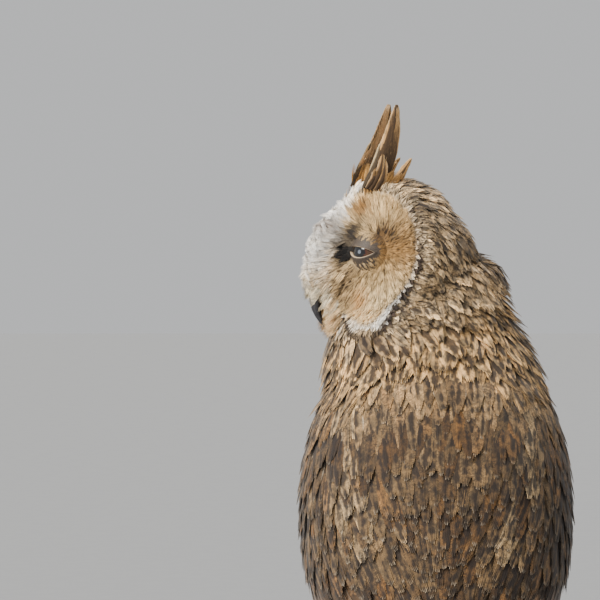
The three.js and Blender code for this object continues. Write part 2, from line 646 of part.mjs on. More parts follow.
// A claw begins at a gap past the toe's end and hooks down to just above the ground.
function claw(side, toe) {
  const curve = toeCurve(side, toe);
  const to = toeHeading(side, toe.heading);
  const start = curve.getPoint(1).addScaledVector(to, GAP);
  const hook = new THREE.CubicBezierCurve3(
    start,
    start.clone().addScaledVector(to, CLAW.length * 0.5),
    start.clone().addScaledVector(to, CLAW.length * 0.95).setZ(TOE.axis + CLAW.arch),
    start.clone().addScaledVector(to, CLAW.length).setZ(CLAW.tipZ),
  );
  const half = (share) => mix(CLAW.thick, CLAW.tip, share ** 1.2);
  return bar(hook, half, half, vector(0, 0, 1), 6, 4);
}

// Everything on the head, in a group that turns with it.
function headGroup(headGrown) {
  const group = new THREE.Group();
  group.position.copy(HEAD_AT);
  group.rotation.z = degrees(HEAD_TURN);
  group.add(meshOf("head", head(), MATERIALS.face));
  group.add(meshOf("bill_upper", upperBill(headGrown), MATERIALS.horn));
  group.add(meshOf("bill_lower", lowerBill(headGrown), MATERIALS.horn));
  for (const [name, side] of [["left", 1], ["right", -1]]) {
    const eye = ball(EYE.radius, eyeAt(side));
    group.add(meshOf("eye_" + name, eye, MATERIALS.eye));
    group.add(meshOf("ear_tuft_" + name, earTuft(side, headGrown), MATERIALS.tuft));
  }
  return group;
}

function owl() {
  const group = new THREE.Group();
  const body = bodySolid(0);
  const bodyGrown = bodySolid(CLEAR);
  const headGrown = headForm(CLEAR);
  const headHole = headGrown.rotate([0, 0, HEAD_TURN]).translate(HEAD_AT.toArray());
  const torso = body.intersect(slab(0, NECK_CUT - GAP / 2));
  const neck = body.intersect(slab(NECK_CUT + GAP / 2, 400)).subtract(headHole);
  group.add(meshOf("torso", torso, MATERIALS.plumage));
  group.add(meshOf("neck", neck, MATERIALS.plumage));
  group.add(headGroup(headGrown));
  group.add(meshOf("tail", tail(bodyGrown), MATERIALS.wing));
  for (const [name, side] of [["left", 1], ["right", -1]]) {
    group.add(meshOf("wing_" + name, wing(side, bodyGrown), MATERIALS.wing));
    group.add(meshOf("leg_" + name, leg(side, bodyGrown), MATERIALS.leg));
    group.add(meshOf("foot_" + name, foot(side), MATERIALS.leg));
    for (const toe of TOES) group.add(meshOf(`claw_${name}_${toe.name}`, claw(side, toe), MATERIALS.horn));
  }
  return group;
}

// The owl stands over the origin: its box, measured point by point, is centred there and starts at height 0.
const model = owl();
const box = new THREE.Box3().setFromObject(model, true);
model.position.set(-(box.min.x + box.max.x) / 2, -(box.min.y + box.max.y) / 2, -box.min.z);
const root = new THREE.Group();
root.add(model);
export default root;
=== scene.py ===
"""A long-eared owl, life size, on a plain floor and looking over its left shoulder.

The owl is put together from the skin outwards: skin, body feathers, face, eyes, bill, ear tufts,
wings, tail, claws, and then the floor, the light and the camera. Lengths are in millimetres in the
drawing, where the breast faces -Y and the owl's own left is +X, and in metres in the scene.
"""

import math
from itertools import product

import bmesh
import bpy
import numpy as np
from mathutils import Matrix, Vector
from mathutils.bvhtree import BVHTree


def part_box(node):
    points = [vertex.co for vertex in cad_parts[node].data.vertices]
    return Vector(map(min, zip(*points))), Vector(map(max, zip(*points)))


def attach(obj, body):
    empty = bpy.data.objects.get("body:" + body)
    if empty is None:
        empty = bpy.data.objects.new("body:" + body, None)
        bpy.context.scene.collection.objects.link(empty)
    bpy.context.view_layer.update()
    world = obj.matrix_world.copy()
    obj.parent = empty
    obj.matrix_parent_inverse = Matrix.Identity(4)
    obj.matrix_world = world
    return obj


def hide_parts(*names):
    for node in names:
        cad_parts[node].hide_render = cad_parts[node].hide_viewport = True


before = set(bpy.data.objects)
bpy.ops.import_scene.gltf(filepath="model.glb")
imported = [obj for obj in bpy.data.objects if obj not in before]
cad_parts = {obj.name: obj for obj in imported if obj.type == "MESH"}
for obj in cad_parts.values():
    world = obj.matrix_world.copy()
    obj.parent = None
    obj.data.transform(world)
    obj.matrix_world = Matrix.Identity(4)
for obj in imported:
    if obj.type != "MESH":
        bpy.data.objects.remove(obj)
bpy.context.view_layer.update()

# Skin
# The owl's body under its feathers, one closed hide from the crown to the toes with the folded arms in it.
# It grows from the solids of the flesh, eased into each other, and drawn in by the depth of the coat.
MM = 0.001
VOXEL = 1.6 * MM
EASING = 10
FLESH = ["head", "neck", "torso", "leg_left", "leg_right", "foot_left", "foot_right"]
HEAD_AT = np.array([21.0, -7.5, 275.5])
HEAD_TURN = math.radians(12)
HEAD_AXES = np.array(
    [
        [math.cos(HEAD_TURN), math.sin(HEAD_TURN), 0],
        [-math.sin(HEAD_TURN), math.cos(HEAD_TURN), 0],
        [0, 0, 1],
    ]
)
BETWEEN_EYES = np.array([15.5, 0, 2.5])
HEAD_REACH = 49.0
LEG_X = 24.0
LEG_TOP = 100.0
ANKLE = 24.0

# The cloak is the surface that the folded wings lie on, as level sections: height, half width, half depth,
# the middle's place from front to back, and the angles, from straight aside, where a wing starts and ends.
CLOAK_SECTIONS = np.array(
    [
        [4, 30, 22, 106, 54, 90],
        [30, 34, 30, 80.5, 48, 90],
        [55, 42, 40, 60, 34, 88],
        [80, 51.5, 53, 38, 18, 87],
        [104, 60.5, 62, 21, 4, 86],
        [130, 66, 68, 10, -10, 79],
        [154, 67, 68, 3, -20, 71],
        [184, 64.5, 63, -3, -27, 64],
        [214, 57, 54, -7, -32, 58],
        [230, 46, 44, -8, -34, 52],
    ],
    float,
)
ARM = {"top": 222, "bottom": 108, "front": 0.0, "back": 0.97, "under": 2.5, "thick": 8}

# The drawing's place in the scene, from the middle between the two eyes.
eye_corners = [corner[:] for name in ("eye_left", "eye_right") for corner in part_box(name)]
DRAWN_AT = np.mean(eye_corners, axis=0) / MM - (BETWEEN_EYES @ HEAD_AXES + HEAD_AT)


def in_scene(points):
    return (np.asarray(points, float) + DRAWN_AT) * MM


def in_drawing(points):
    return np.asarray(points, float) / MM - DRAWN_AT


def on_head(points):
    return (np.asarray(points, float) - HEAD_AT) @ HEAD_AXES.T


def off_head(points):
    return np.asarray(points, float) @ HEAD_AXES + HEAD_AT


def ease(low, high, value):
    share = np.clip((np.asarray(value, float) - low) / (high - low), 0, 1)
    return share * share * (3 - 2 * share)


def unit(vectors):
    return vectors / np.maximum(np.linalg.norm(vectors, axis=-1, keepdims=True), 1e-9)


def cloak_section(height):
    """A level section of the cloak at each height, on smooth curves through its stations."""
    z = CLOAK_SECTIONS[:, 0]
    height = np.clip(height, z[0], z[-1])
    i = np.clip(np.searchsorted(z, height, side="right") - 1, 0, len(z) - 2)
    before, after = np.maximum(i - 1, 0), np.minimum(i + 2, len(z) - 1)
    rows = CLOAK_SECTIONS[:, 1:]
    span = (z[i + 1] - z[i])[..., None]
    share = (height - z[i])[..., None] / span
    slope_low = (rows[i + 1] - rows[before]) / (z[i + 1] - z[before])[..., None] * span
    slope_high = (rows[after] - rows[i]) / (z[after] - z[i])[..., None] * span
    square, cube = share**2, share**3
    return (
        (2 * cube - 3 * square + 1) * rows[i]
        + (cube - 2 * square + share) * slope_low
        + (3 * square - 2 * cube) * rows[i + 1]
        + (cube - square) * slope_high
    )


def on_cloak(side, height, across):
    """Points on the cloak. across runs from 0 at a wing's front edge to 1 at its back edge."""
    height, across = np.broadcast_arrays(np.asarray(height, float), np.asarray(across, float))
    section = cloak_section(height)
    angle = np.radians(section[..., 3] * (1 - across) + section[..., 4] * across)
    x = side * section[..., 0] * np.cos(angle)
    y = section[..., 2] + section[..., 1] * np.sin(angle)
    return np.stack([x, y, height], -1)


def cloak_frame(side, height, across):
    """Points on the cloak, the way out of it, the way back along it and the millimetres per share."""
    at = on_cloak(side, height, across)
    down = on_cloak(side, height - 1.5, across) - on_cloak(side, height + 1.5, across)
    back = on_cloak(side, height, across + 0.01) - on_cloak(side, height, across - 0.01)
    out = unit(np.cross(back, down)) * -side
    return at, out, unit(back), np.linalg.norm(back, axis=-1) / 0.02


def from_leg(points):
    """How far points lie from the upright middle of the leg on their side."""
    return np.hypot(np.abs(points[:, 0]) - LEG_X, points[:, 1])


def coat_depth(points):
    """How far the skin lies under the outside of the feathers."""
    away = np.linalg.norm(on_head(points), axis=-1)
    depth = 5.0 - 2.8 * ease(60, 46, away)
    on_leg = ease(LEG_TOP, LEG_TOP - 25, points[:, 2]) * ease(34, 24, from_leg(points))
    depth = depth * (1 - on_leg) + 2.6 * on_leg
    low = ease(ANKLE + 6, ANKLE - 10, points[:, 2]) * ease(70, 50, points[:, 1])
    return depth * (1 - low) + 0.8 * low


def bare_mesh(name, form):
    mesh = bpy.data.meshes.new(name)
    form.to_mesh(mesh)
    form.free()
    return mesh


def placed(name, mesh):
    piece = bpy.data.objects.new(name, mesh)
    bpy.context.scene.collection.objects.link(piece)
    return piece


def vectors_of(items, what, kind=float):
    """Three numbers for each item of a mesh, as a row."""
    values = np.empty(len(items) * 3, kind)
    items.foreach_get(what, values)
    return values.reshape(-1, 3)


flesh = bmesh.new()
for node_name in FLESH + ["eye_left", "eye_right"]:
    flesh.from_mesh(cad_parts[node_name].data)
bmesh.ops.remove_doubles(flesh, verts=flesh.verts, dist=1e-6)
for side in (1, -1):
    arm = bmesh.new()
    bmesh.ops.create_grid(arm, x_segments=16, y_segments=14, size=1)
    for corner in arm.verts:
        height = ARM["bottom"] + (ARM["top"] - ARM["bottom"]) * (corner.co.y + 1) / 2
        across = ARM["front"] + (ARM["back"] - ARM["front"]) * (corner.co.x + 1) / 2
        at, out, back, _ = cloak_frame(side, np.array(height), np.array(across))
        corner.co = in_scene(at - out * ARM["under"])
    bmesh.ops.recalc_face_normals(arm, faces=arm.faces)
    if (arm.faces[:][0].normal.x > 0) != (side > 0):
        bmesh.ops.reverse_faces(arm, faces=arm.faces)
    bmesh.ops.solidify(arm, geom=arm.faces[:], thickness=ARM["thick"] * MM)
    bmesh.ops.recalc_face_normals(arm, faces=arm.faces)
    arm_mesh = bare_mesh("arm", arm)
    flesh.from_mesh(arm_mesh)
    bpy.data.meshes.remove(arm_mesh)
skin = placed("skin", bare_mesh("skin", flesh))
closing = skin.modifiers.new("closing", "REMESH")
closing.mode = "VOXEL"
closing.voxel_size = VOXEL
easing = skin.modifiers.new("easing", "SMOOTH")
easing.factor = 0.5
easing.iterations = EASING
made = bpy.data.meshes.new_from_object(skin.evaluated_get(bpy.context.evaluated_depsgraph_get()))
skin.modifiers.clear()
skin.data = made
made.name = "skin"
skin_points = in_drawing(vectors_of(made.vertices, "co"))
skin_points -= vectors_of(made.vertices, "normal") * coat_depth(skin_points)[:, None]
made.vertices.foreach_set("co", in_scene(skin_points).ravel())
made.update()
made.shade_smooth()
made.calc_loop_triangles()
skin_faces = vectors_of(made.loop_triangles, "vertices", int)
skin_tree = BVHTree.FromPolygons(skin_points.tolist(), skin_faces.tolist())
skin_normals = vectors_of(made.vertices, "normal")

# Markings
# The colours of the owl's plumage by place: each feather has a ground colour, a dark mark, and a plan of
# how much of it is a shaft streak, cross bars, fine specks and a pale edge. The skin takes the same colours.
EYE_AT = np.array([15.5, 20.5, 2.5])
EYE_TURN = math.radians(30)
DISC = {"aside": 47.5, "up": 4.0, "angle": 49.5, "taller": 9.0, "cut": 4.5, "cut_at": -48, "cut_over": 30}
aside, up = math.radians(DISC["aside"]), math.radians(DISC["up"])
DISC_AXIS = np.array([math.cos(aside) * math.cos(up), math.sin(aside) * math.cos(up), math.sin(up)])
DISC_BACK = np.array([-math.sin(aside), math.cos(aside), 0.0])
DISC_UP = np.cross(DISC_AXIS, DISC_BACK)
CAPE_WAVE = 11


def tone(red, green, blue):
    """A colour as seen on a screen, 0 to 255, as the light it gives off."""
    value = np.array([red, green, blue], float) / 255
    return np.where(value <= 0.04045, value / 12.92, ((value + 0.055) / 1.055) ** 2.4)


def near_turn(turn, middle, width):
    return np.exp(-((((turn - middle + 180) % 360 - 180) / width) ** 2))


def disc_place(head_points):
    """Where points on the head lie in the disc on their side: the share of its reach, and the turn in it."""
    to = unit(head_points)
    to = np.stack([to[..., 0], np.abs(to[..., 1]), to[..., 2]], -1)
    away = np.arccos(np.clip(to @ DISC_AXIS, -1, 1))
    turned = np.arctan2(to @ DISC_UP, to @ DISC_BACK)
    cut = DISC["cut"] * near_turn(np.degrees(turned), DISC["cut_at"], DISC["cut_over"])
    return away / np.radians(DISC["angle"] + DISC["taller"] * np.sin(turned) ** 2 - cut), turned


def eye_place(head_points):
    """Distance and turn round the eye: 0 is to the rear, 90 is above, 180 is towards the bill."""
    mirrored = np.stack([head_points[..., 0], np.abs(head_points[..., 1]), head_points[..., 2]], -1)
    away = mirrored - EYE_AT
    back = away[..., 0] * -math.sin(EYE_TURN) + away[..., 1] * math.cos(EYE_TURN)
    return np.hypot(back, away[..., 2]), np.degrees(np.arctan2(away[..., 2], back))


def aside_of(head_points):
    """How far points lie to a side of the head's middle plane, in degrees."""
    return np.degrees(np.arctan2(np.abs(head_points[:, 1]), head_points[:, 0]))


def laid_over(colours, share, colour):
    share = np.clip(share, 0, 1)[..., None]
    return colours * (1 - share) + colour * share


def drift(points):
    """A slow change of tone over the plumage, between about -1 and 1."""
    x, y, z = points[:, 0], points[:, 1], points[:, 2]
    wave = np.sin(x * 0.21 + 1.3 * np.sin(z * 0.11)) + np.sin(z * 0.17 + 1.7 * np.sin(y * 0.13 + 2))
    return (wave + np.sin(y * 0.19 + 1.1 * np.sin(x * 0.15 + z * 0.07))) / 3


def markings(points, normals):
    """The ground colour, the mark's colour and the plan of the feathers that grow at these points."""
    count = len(points)
    ground = np.tile(tone(180, 156, 122), (count, 1))
    mark = np.tile(tone(70, 54, 42), (count, 1))
    plan = np.tile([0.34, 0.15, 0.35, 0.35], (count, 1))

    def dye(share, *colour):
        ground[:] = laid_over(ground, share, tone(*colour))

    def mark_with(share, *colour):
        mark[:] = laid_over(mark, share, tone(*colour))

    def draw(share, streak, bars, specks, edge):
        plan[:] = laid_over(plan, share, np.array([streak, bars, specks, edge]))

    # Breast and belly: buff with dark shaft streaks, paler and more finely marked below.
    z = points[:, 2]
    behind = ease(-0.15, 0.35, normals[:, 1])
    front = 1 - behind
    dye(front * ease(250, 200, z), 206, 176, 134)
    dye(front * ease(150, 100, z), 214, 192, 158)
    draw(front, 0.26, 0.32, 0.15, 0.5)
    draw(front * ease(130, 90, z), 0.14, 0.15, 0.05, 0.4)

    # Cape and nape: broad buff feathers with dark shafts. Mantle: dark brown, finely vermiculated.
    cape = behind * ease(205, 218, z)
    dye(cape, 208, 173, 124)
    mark_with(cape, 44, 33, 26)
    draw(cape, 0.52, 0.05, 0.4, 0.5)
    mantle = behind * ease(216, 198, z + CAPE_WAVE * drift(points))
    dye(mantle, 124, 98, 64)
    mark_with(mantle, 48, 36, 29)
    draw(mantle, 0.28, 0.4, 0.95, 0.35)

    # Legs and toes: plain warm buff down.
    on_leg = ease(LEG_TOP, LEG_TOP - 20, z) * ease(36, 26, from_leg(points))
    on_leg = on_leg + ease(30, 20, z) * (points[:, 1] < 50)
    dye(on_leg, 206, 164, 110)
    draw(on_leg, 0.06, 0.03, 0.05, 0.2)

    # Head: a buff grey crown with fine dark specks, browner down the nape.
    head = on_head(points)
    ahead, high = head[:, 0], head[:, 2]
    reach = np.linalg.norm(head, axis=-1)
    on_it = ease(HEAD_REACH + 5, HEAD_REACH - 3, reach)
    dye(on_it, 190, 164, 128)
    draw(on_it, 0.3, 0.1, 0.8, 0.4)
    share, _ = disc_place(head)
    away, turn = eye_place(head)
    dye(on_it * np.exp(-(((share - 1.28) / 0.14) ** 2)), 188, 164, 130)
    near_head = on_it * ease(-47, -43, high)
    on_it = on_it * ease(HEAD_REACH - 1.5, HEAD_REACH - 3.5, reach) * ease(-42, -38, high)
    dye(on_it * ease(-14, -30, ahead) * ease(-14, 0, high) * 0.5, 112, 90, 62)

    # Facial disc: cream, golden brown to the rear of the eye and tawny over it, with a white lower rim.
    disc = on_it * ease(1.0, 0.97, share)
    dye(disc, 226, 192, 138)
    golden = near_turn(turn, 10, 42) * ease(3, 8, away) * (1 - 0.35 * ease(16, 26, away))
    dye(disc * golden * 0.9, 156, 114, 60)
    from_spot = np.hypot(away - 19.5, np.radians((turn - 104 + 180) % 360 - 180) * 20)
    dye(disc * np.exp(-((from_spot / 4.4) ** 2)) * 0.95, 138, 94, 42)
    dye(disc * near_turn(turn, -68, 34) * ease(12, 20, away), 248, 218, 166)
    dye(disc * near_turn(turn, -85, 32) * ease(15, 8, away) * 0.6, 150, 120, 80)
    dye(disc * ease(0.86, 0.93, share) * 0.6, 228, 212, 186)
    dye(disc * ease(0.85, 0.9, share) * near_turn(turn, -70, 44), 248, 243, 234)
    draw(disc, 0.08, 0.0, 0.15, 0.1)
    streaked = disc * near_turn(turn, 44, 26) * ease(5, 9, away) * ease(18, 12, away)
    dye(streaked * 0.85, 82, 56, 28)
    draw(streaked, 0.4, 0.0, 0.3, 0.1)

    # Brow and lores: white fans that meet over the bill, with a few brown specks. Below the eye they are
    # streaked with grey brown, and the feathers in front of the eye are black.
    aside = aside_of(head)
    fan = near_turn(turn, 135, 38) * ease(5, 10, away) * ease(32, 23, aside)
    bridge = ease(24, 15, aside) * ease(-40, -28, high) * ease(42, 30, high)
    brow = on_it * (ahead > 0) * np.maximum(fan, bridge)
    dye(brow, 253, 249, 242)
    dye(brow * ease(2, -12, high), 244, 230, 204)
    draw(brow, 0.0, 0.0, 0.08, 0.1)
    from_specks = np.hypot(np.abs(head[:, 1]) - 8.5, (high - 14) * 1.4)
    dye(brow * np.exp(-((from_specks / 3.8) ** 2)) * 0.95, 92, 60, 34)
    lores = on_it * near_turn(turn, -146, 20) * ease(7, 11, away) * ease(30, 24, away)
    dye(lores * 0.7, 216, 186, 142)
    draw(lores, 0.2, 0.0, 0.2, 0.1)
    below = on_it * near_turn(turn, -122, 17) * ease(5, 9, away) * ease(29, 20, away)
    dye(below * 0.85, 124, 100, 70)
    draw(below, 0.28, 0.0, 0.3, 0.1)
    dye(on_it * near_turn(turn, -98, 9) * near_turn(away, 19, 5) * 0.8, 190, 136, 76)
    # Painted shade: the white brow turns grey towards the eye, for the shade in the hollow where the eye sits
    # under the brow.
    dye(on_it * near_turn(turn, 156, 30) * ease(24, 13, away) * 0.75, 120, 112, 104)
    dye(on_it * near_turn(turn, 121, 33) * ease(18, 12, away), 42, 38, 35)
    dye(on_it * near_turn(turn, 178, 30) * ease(15, 11, away) * 1.6, 9, 8, 7)

    # Ruff: short buff feathers round the disc, with a dark line at their inner side.
    ruff = near_head * ease(0.925, 0.945, share) * ease(1.1, 1.0, share) * ease(12, 22, aside)
    dye(ruff, 176, 154, 122)
    dye(ruff * ease(1.0, 0.96, share) * ease(30, 0, high), 48, 36, 29)
    draw(ruff, 0.34, 0.0, 0.9, 0.35)
    return ground, mark, plan


def wire(tree, kind, values, **settings):
    """One node, with its settings, and its inputs set or linked. Inputs go by name or by number."""
    node = tree.nodes.new(kind)
    for name, value in settings.items():
        setattr(node, name, value)
    for name, value in values.items():
        if isinstance(value, bpy.types.NodeSocket):
            tree.links.new(value, node.inputs[name])
        else:
            node.inputs[name].default_value = value
    return node


def reckon(tree, operation, *values):
    return wire(tree, "ShaderNodeMath", dict(enumerate(values)), operation=operation).outputs[0]


def between(tree, value, low, high, to_low=0.0, to_high=1.0):
    values = {"Value": value, "From Min": low, "From Max": high, "To Min": to_low, "To Max": to_high}
    kind = "ShaderNodeMapRange"
    return wire(tree, kind, values, interpolation_type="SMOOTHSTEP").outputs["Result"]


def dyed(tree, share, first, second, blend="MIX"):
    node = wire(tree, "ShaderNodeMix", {0: share, 6: first, 7: second}, data_type="RGBA", blend_type=blend)
    return node.outputs[2]


def grain(tree, vector, scale, detail=2.0, roughness=0.5, distortion=0.0):
    values = {"Vector": vector, "Scale": scale, "Detail": detail}
    values |= {"Roughness": roughness, "Distortion": distortion}
    return wire(tree, "ShaderNodeTexNoise", values).outputs["Fac"]


def vector_of(tree, x, y, z):
    return wire(tree, "ShaderNodeCombineXYZ", {0: x, 1: y, 2: z}).outputs[0]


def fresh_finish(name, roughness, **constants):
    """A new material with a bare shader whose plain numbers are set on its own sockets."""
    finish = bpy.data.materials.new(name)
    finish.use_nodes = True
    shader = finish.node_tree.nodes["Principled BSDF"]
    shader.inputs["Roughness"].default_value = roughness
    for socket, value in constants.items():
        shader.inputs[socket.replace("_", " ")].default_value = value
    return finish, finish.node_tree, shader


def raised(tree, shader, height, strength, distance):
    values = {"Height": height, "Strength": strength, "Distance": distance}
    tree.links.new(wire(tree, "ShaderNodeBump", values).outputs["Normal"], shader.inputs["Normal"])


skin_finish, tree, shader = fresh_finish("down_and_skin", 0.95)
place = wire(tree, "ShaderNodeTexCoord", {}).outputs["Object"]
ground = wire(tree, "ShaderNodeAttribute", {}, attribute_name="ground").outputs["Color"]
mottle = grain(tree, place, 420, 4, 0.6)
deep = dyed(tree, 0.45, ground, (0.03, 0.022, 0.016, 1))
down = dyed(tree, between(tree, mottle, 0.35, 0.65), deep, ground)
tree.links.new(down, shader.inputs["Base Color"])
raised(tree, shader, mottle, 0.6, 0.6 * MM)
made.materials.clear()
made.materials.append(skin_finish)
ground_colours, _, _ = markings(skin_points, skin_normals)
skin_dye = made.color_attributes.new("ground", "FLOAT_COLOR", "POINT")
skin_dye.data.foreach_set("color", np.hstack([ground_colours, np.ones((len(skin_points), 1))]).ravel())
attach(skin, "root")
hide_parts(*FLESH)

# Body feathers
# Small contour feathers in overlapping rows over the whole body, each a soft fan of loose barbs on a shaft.
# They grow back from the bill over the head, down the neck and body, and out along the toes.
SEED = 20
chance = np.random.default_rng(SEED)
LARGEST_PIECE = 190_000
BAKE_PATCH = 0.003
LEAST_STEP = 0.3
SECTIONS = 3
ROOT_UNDER = -0.4


def thinned(points, spacing):
    """Which of the points stay when none may lie nearer than the spacing to one before it."""
    cells = np.floor(points / spacing).astype(int)
    taken = {}
    kept = []
    least = spacing**2
    for i, (cell, point) in enumerate(zip(cells.tolist(), points.tolist())):
        crowded = any(
            (x - point[0]) ** 2 + (y - point[1]) ** 2 + (z - point[2]) ** 2 < least
            for near in product(*((c - 1, c, c + 1) for c in cell))
            for x, y, z in taken.get(near, ())
        )
        if not crowded:
            taken.setdefault(tuple(cell), []).append(point)
            kept.append(i)
    return kept


def planted(wanted, spacing):
    """Roots spread evenly over the faces of the skin that are wanted, with the skin's normals there."""
    corners = skin_points[skin_faces[wanted]]
    area = np.linalg.norm(np.cross(corners[:, 1] - corners[:, 0], corners[:, 2] - corners[:, 0]), axis=1) / 2
    tries = int(area.sum() / spacing**2 * 5)
    picked = chance.choice(len(area), tries, p=area / area.sum())
    shares = chance.random((tries, 2))
    over = shares.sum(1) > 1
    shares[over] = 1 - shares[over]
    origin, first, second = corners[picked, 0], corners[picked, 1], corners[picked, 2]
    points = origin + (first - origin) * shares[:, :1] + (second - origin) * shares[:, 1:]
    kept = thinned(points, spacing)
    normals = unit(skin_normals[skin_faces[wanted][picked[kept]]].mean(1))
    return points[kept], normals


def laid_along(roots, lie, length, rise, tree=skin_tree):
    """Paths over the skin from each root, with the skin's way out at each of their points."""
    paths = np.empty((len(roots), SECTIONS + 1, 3))
    outs = np.empty_like(paths)
    for n in range(len(roots)):
        at = Vector(roots[n])
        heading = Vector(lie[n])
        step = length[n] / SECTIONS
        for k in range(SECTIONS + 1):
            near, out, _, _ = tree.find_nearest(at)
            if k > 0 and (near - before).length < LEAST_STEP * step:
                near = before + heading * (LEAST_STEP * step)
            before = near
            heading -= out * heading.dot(out)
            heading.normalize()
            outs[n, k] = out
            paths[n, k] = near
            at = near + heading * step
    outs[:, 1:-1] = unit(outs[:, :-2] + outs[:, 1:-1] * 2 + outs[:, 2:])
    share = np.linspace(0, 1, SECTIONS + 1)[None, :, None]
    height = rise[0][:, None, None] * (1 - share) + rise[1][:, None, None] * share**0.85
    return paths + outs * height, outs


def lofted(rings):
    """Closed tubes through rings of points, as quads for the walls and one face for each end."""
    pieces, stations, around, _ = rings.shape
    first = (np.arange(pieces) * stations * around)[:, None, None]
    station = (np.arange(stations - 1) * around)[None, :, None]
    corner = np.arange(around)
    here, beside = first + station + corner, first + station + (corner + 1) % around
    walls = np.stack([here, beside, beside + around, here + around], -1).reshape(-1, 4)
    starts = first[:, 0] + corner[::-1]
    ends = first[:, 0] + (stations - 1) * around + corner
    return walls, np.concatenate([starts, ends])


def long_of(paths):
    return np.linalg.norm(np.diff(paths, axis=1), axis=2).sum(1)


SOFT_TAPER = [0.85, 1.0, 0.85, 0.14]
HAIR_TAPER = [1.0, 0.9, 0.65, 0.14]


def soft_feathers(
    paths, outs, width, strands, camber=0.12, fullness=1.1, rounded=1.2, taper=SOFT_TAPER, ragged=1.0
):
    """Feathers as fans of strands. Each strand is three-sided and runs to a point beside its neighbours."""
    count, stations, _ = paths.shape
    stubby = np.minimum(width / 2 / long_of(paths), 0.5)[:, None, None]
    place = np.linspace(-1, 1, strands)[None, :, None]
    share = np.linspace(0, 1, stations)[None, None, :]
    uneven = chance.uniform(-0.12, 0.3, (count, strands, 1)) * ragged
    reach = 1 - stubby * (rounded * place**2 + uneven)
    along = share * reach * (stations - 1)
    low = np.minimum(along.astype(int), stations - 2)
    part = (along - low)[..., None]
    pick = np.arange(count)[:, None, None]
    at = paths[pick, low] * (1 - part) + paths[pick, low + 1] * part
    out = outs[pick, low] * (1 - part) + outs[pick, low + 1] * part
    across = unit(np.cross(unit(paths[pick, low + 1] - paths[pick, low]), out))
    half = (width / 2)[:, None, None]
    opened = (0.3 + 0.7 * np.sin(np.minimum(share / 0.65, 1) * np.pi / 2)) * (1 - 0.22 * share**3)
    shape = np.interp(np.linspace(0, 1, stations), np.linspace(0, 1, len(taper)), taper)
    strand = half / strands * (1 + fullness) * shape
    sway = chance.uniform(-0.12, 0.12, (count, strands, 1)) * half / strands
    middle = place * half * (1 - 1 / strands) * opened + sway
    lift = chance.uniform(-0.12, 0.16, (count, strands, 1)) - camber * half * (middle / half) ** 2 * 2
    lift = lift * np.minimum(share * 2 + 0.4, 1)
    sides = [middle - strand, middle, middle + strand]
    heights = [lift, lift + strand * 0.45, lift]
    ring = [at + across * side[..., None] + out * high[..., None] for side, high in zip(sides, heights)]
    sideways = np.stack(sides, -1) / (half * 2)[..., None] + 0.5
    down = np.broadcast_to((share * reach)[..., None], sideways.shape)
    return {
        "rings": np.stack(ring, -2).reshape(count * strands, stations, 3, 3),
        "across": np.clip(sideways, 0, 1).reshape(-1),
        "along": np.clip(down, 0, 1).reshape(-1),
        "under": np.tile([0.0, 0.1, 0.0], count * strands * stations),
        "each": strands * stations * 3,
    }


def dressed(batch, roots, colours, length, width, period, rooted_in):
    """Adds to a batch of feathers the dyes its materials read and its patch on the unwrap, one value for each
    feather.
    """
    ground, mark, plan = colours
    count = len(roots)
    seeds = chance.random(count)
    batch["dyes"] = {
        "ground": np.hstack([ground, np.ones((count, 1))]),
        "mark": np.hstack([mark, np.ones((count, 1))]),
        "plan": plan,
        "build": np.stack([length / 100, width / 50, seeds, np.full(count, period / 20)], -1),
    }
    batch["unwrap"] = rooted_in(roots)
    return batch


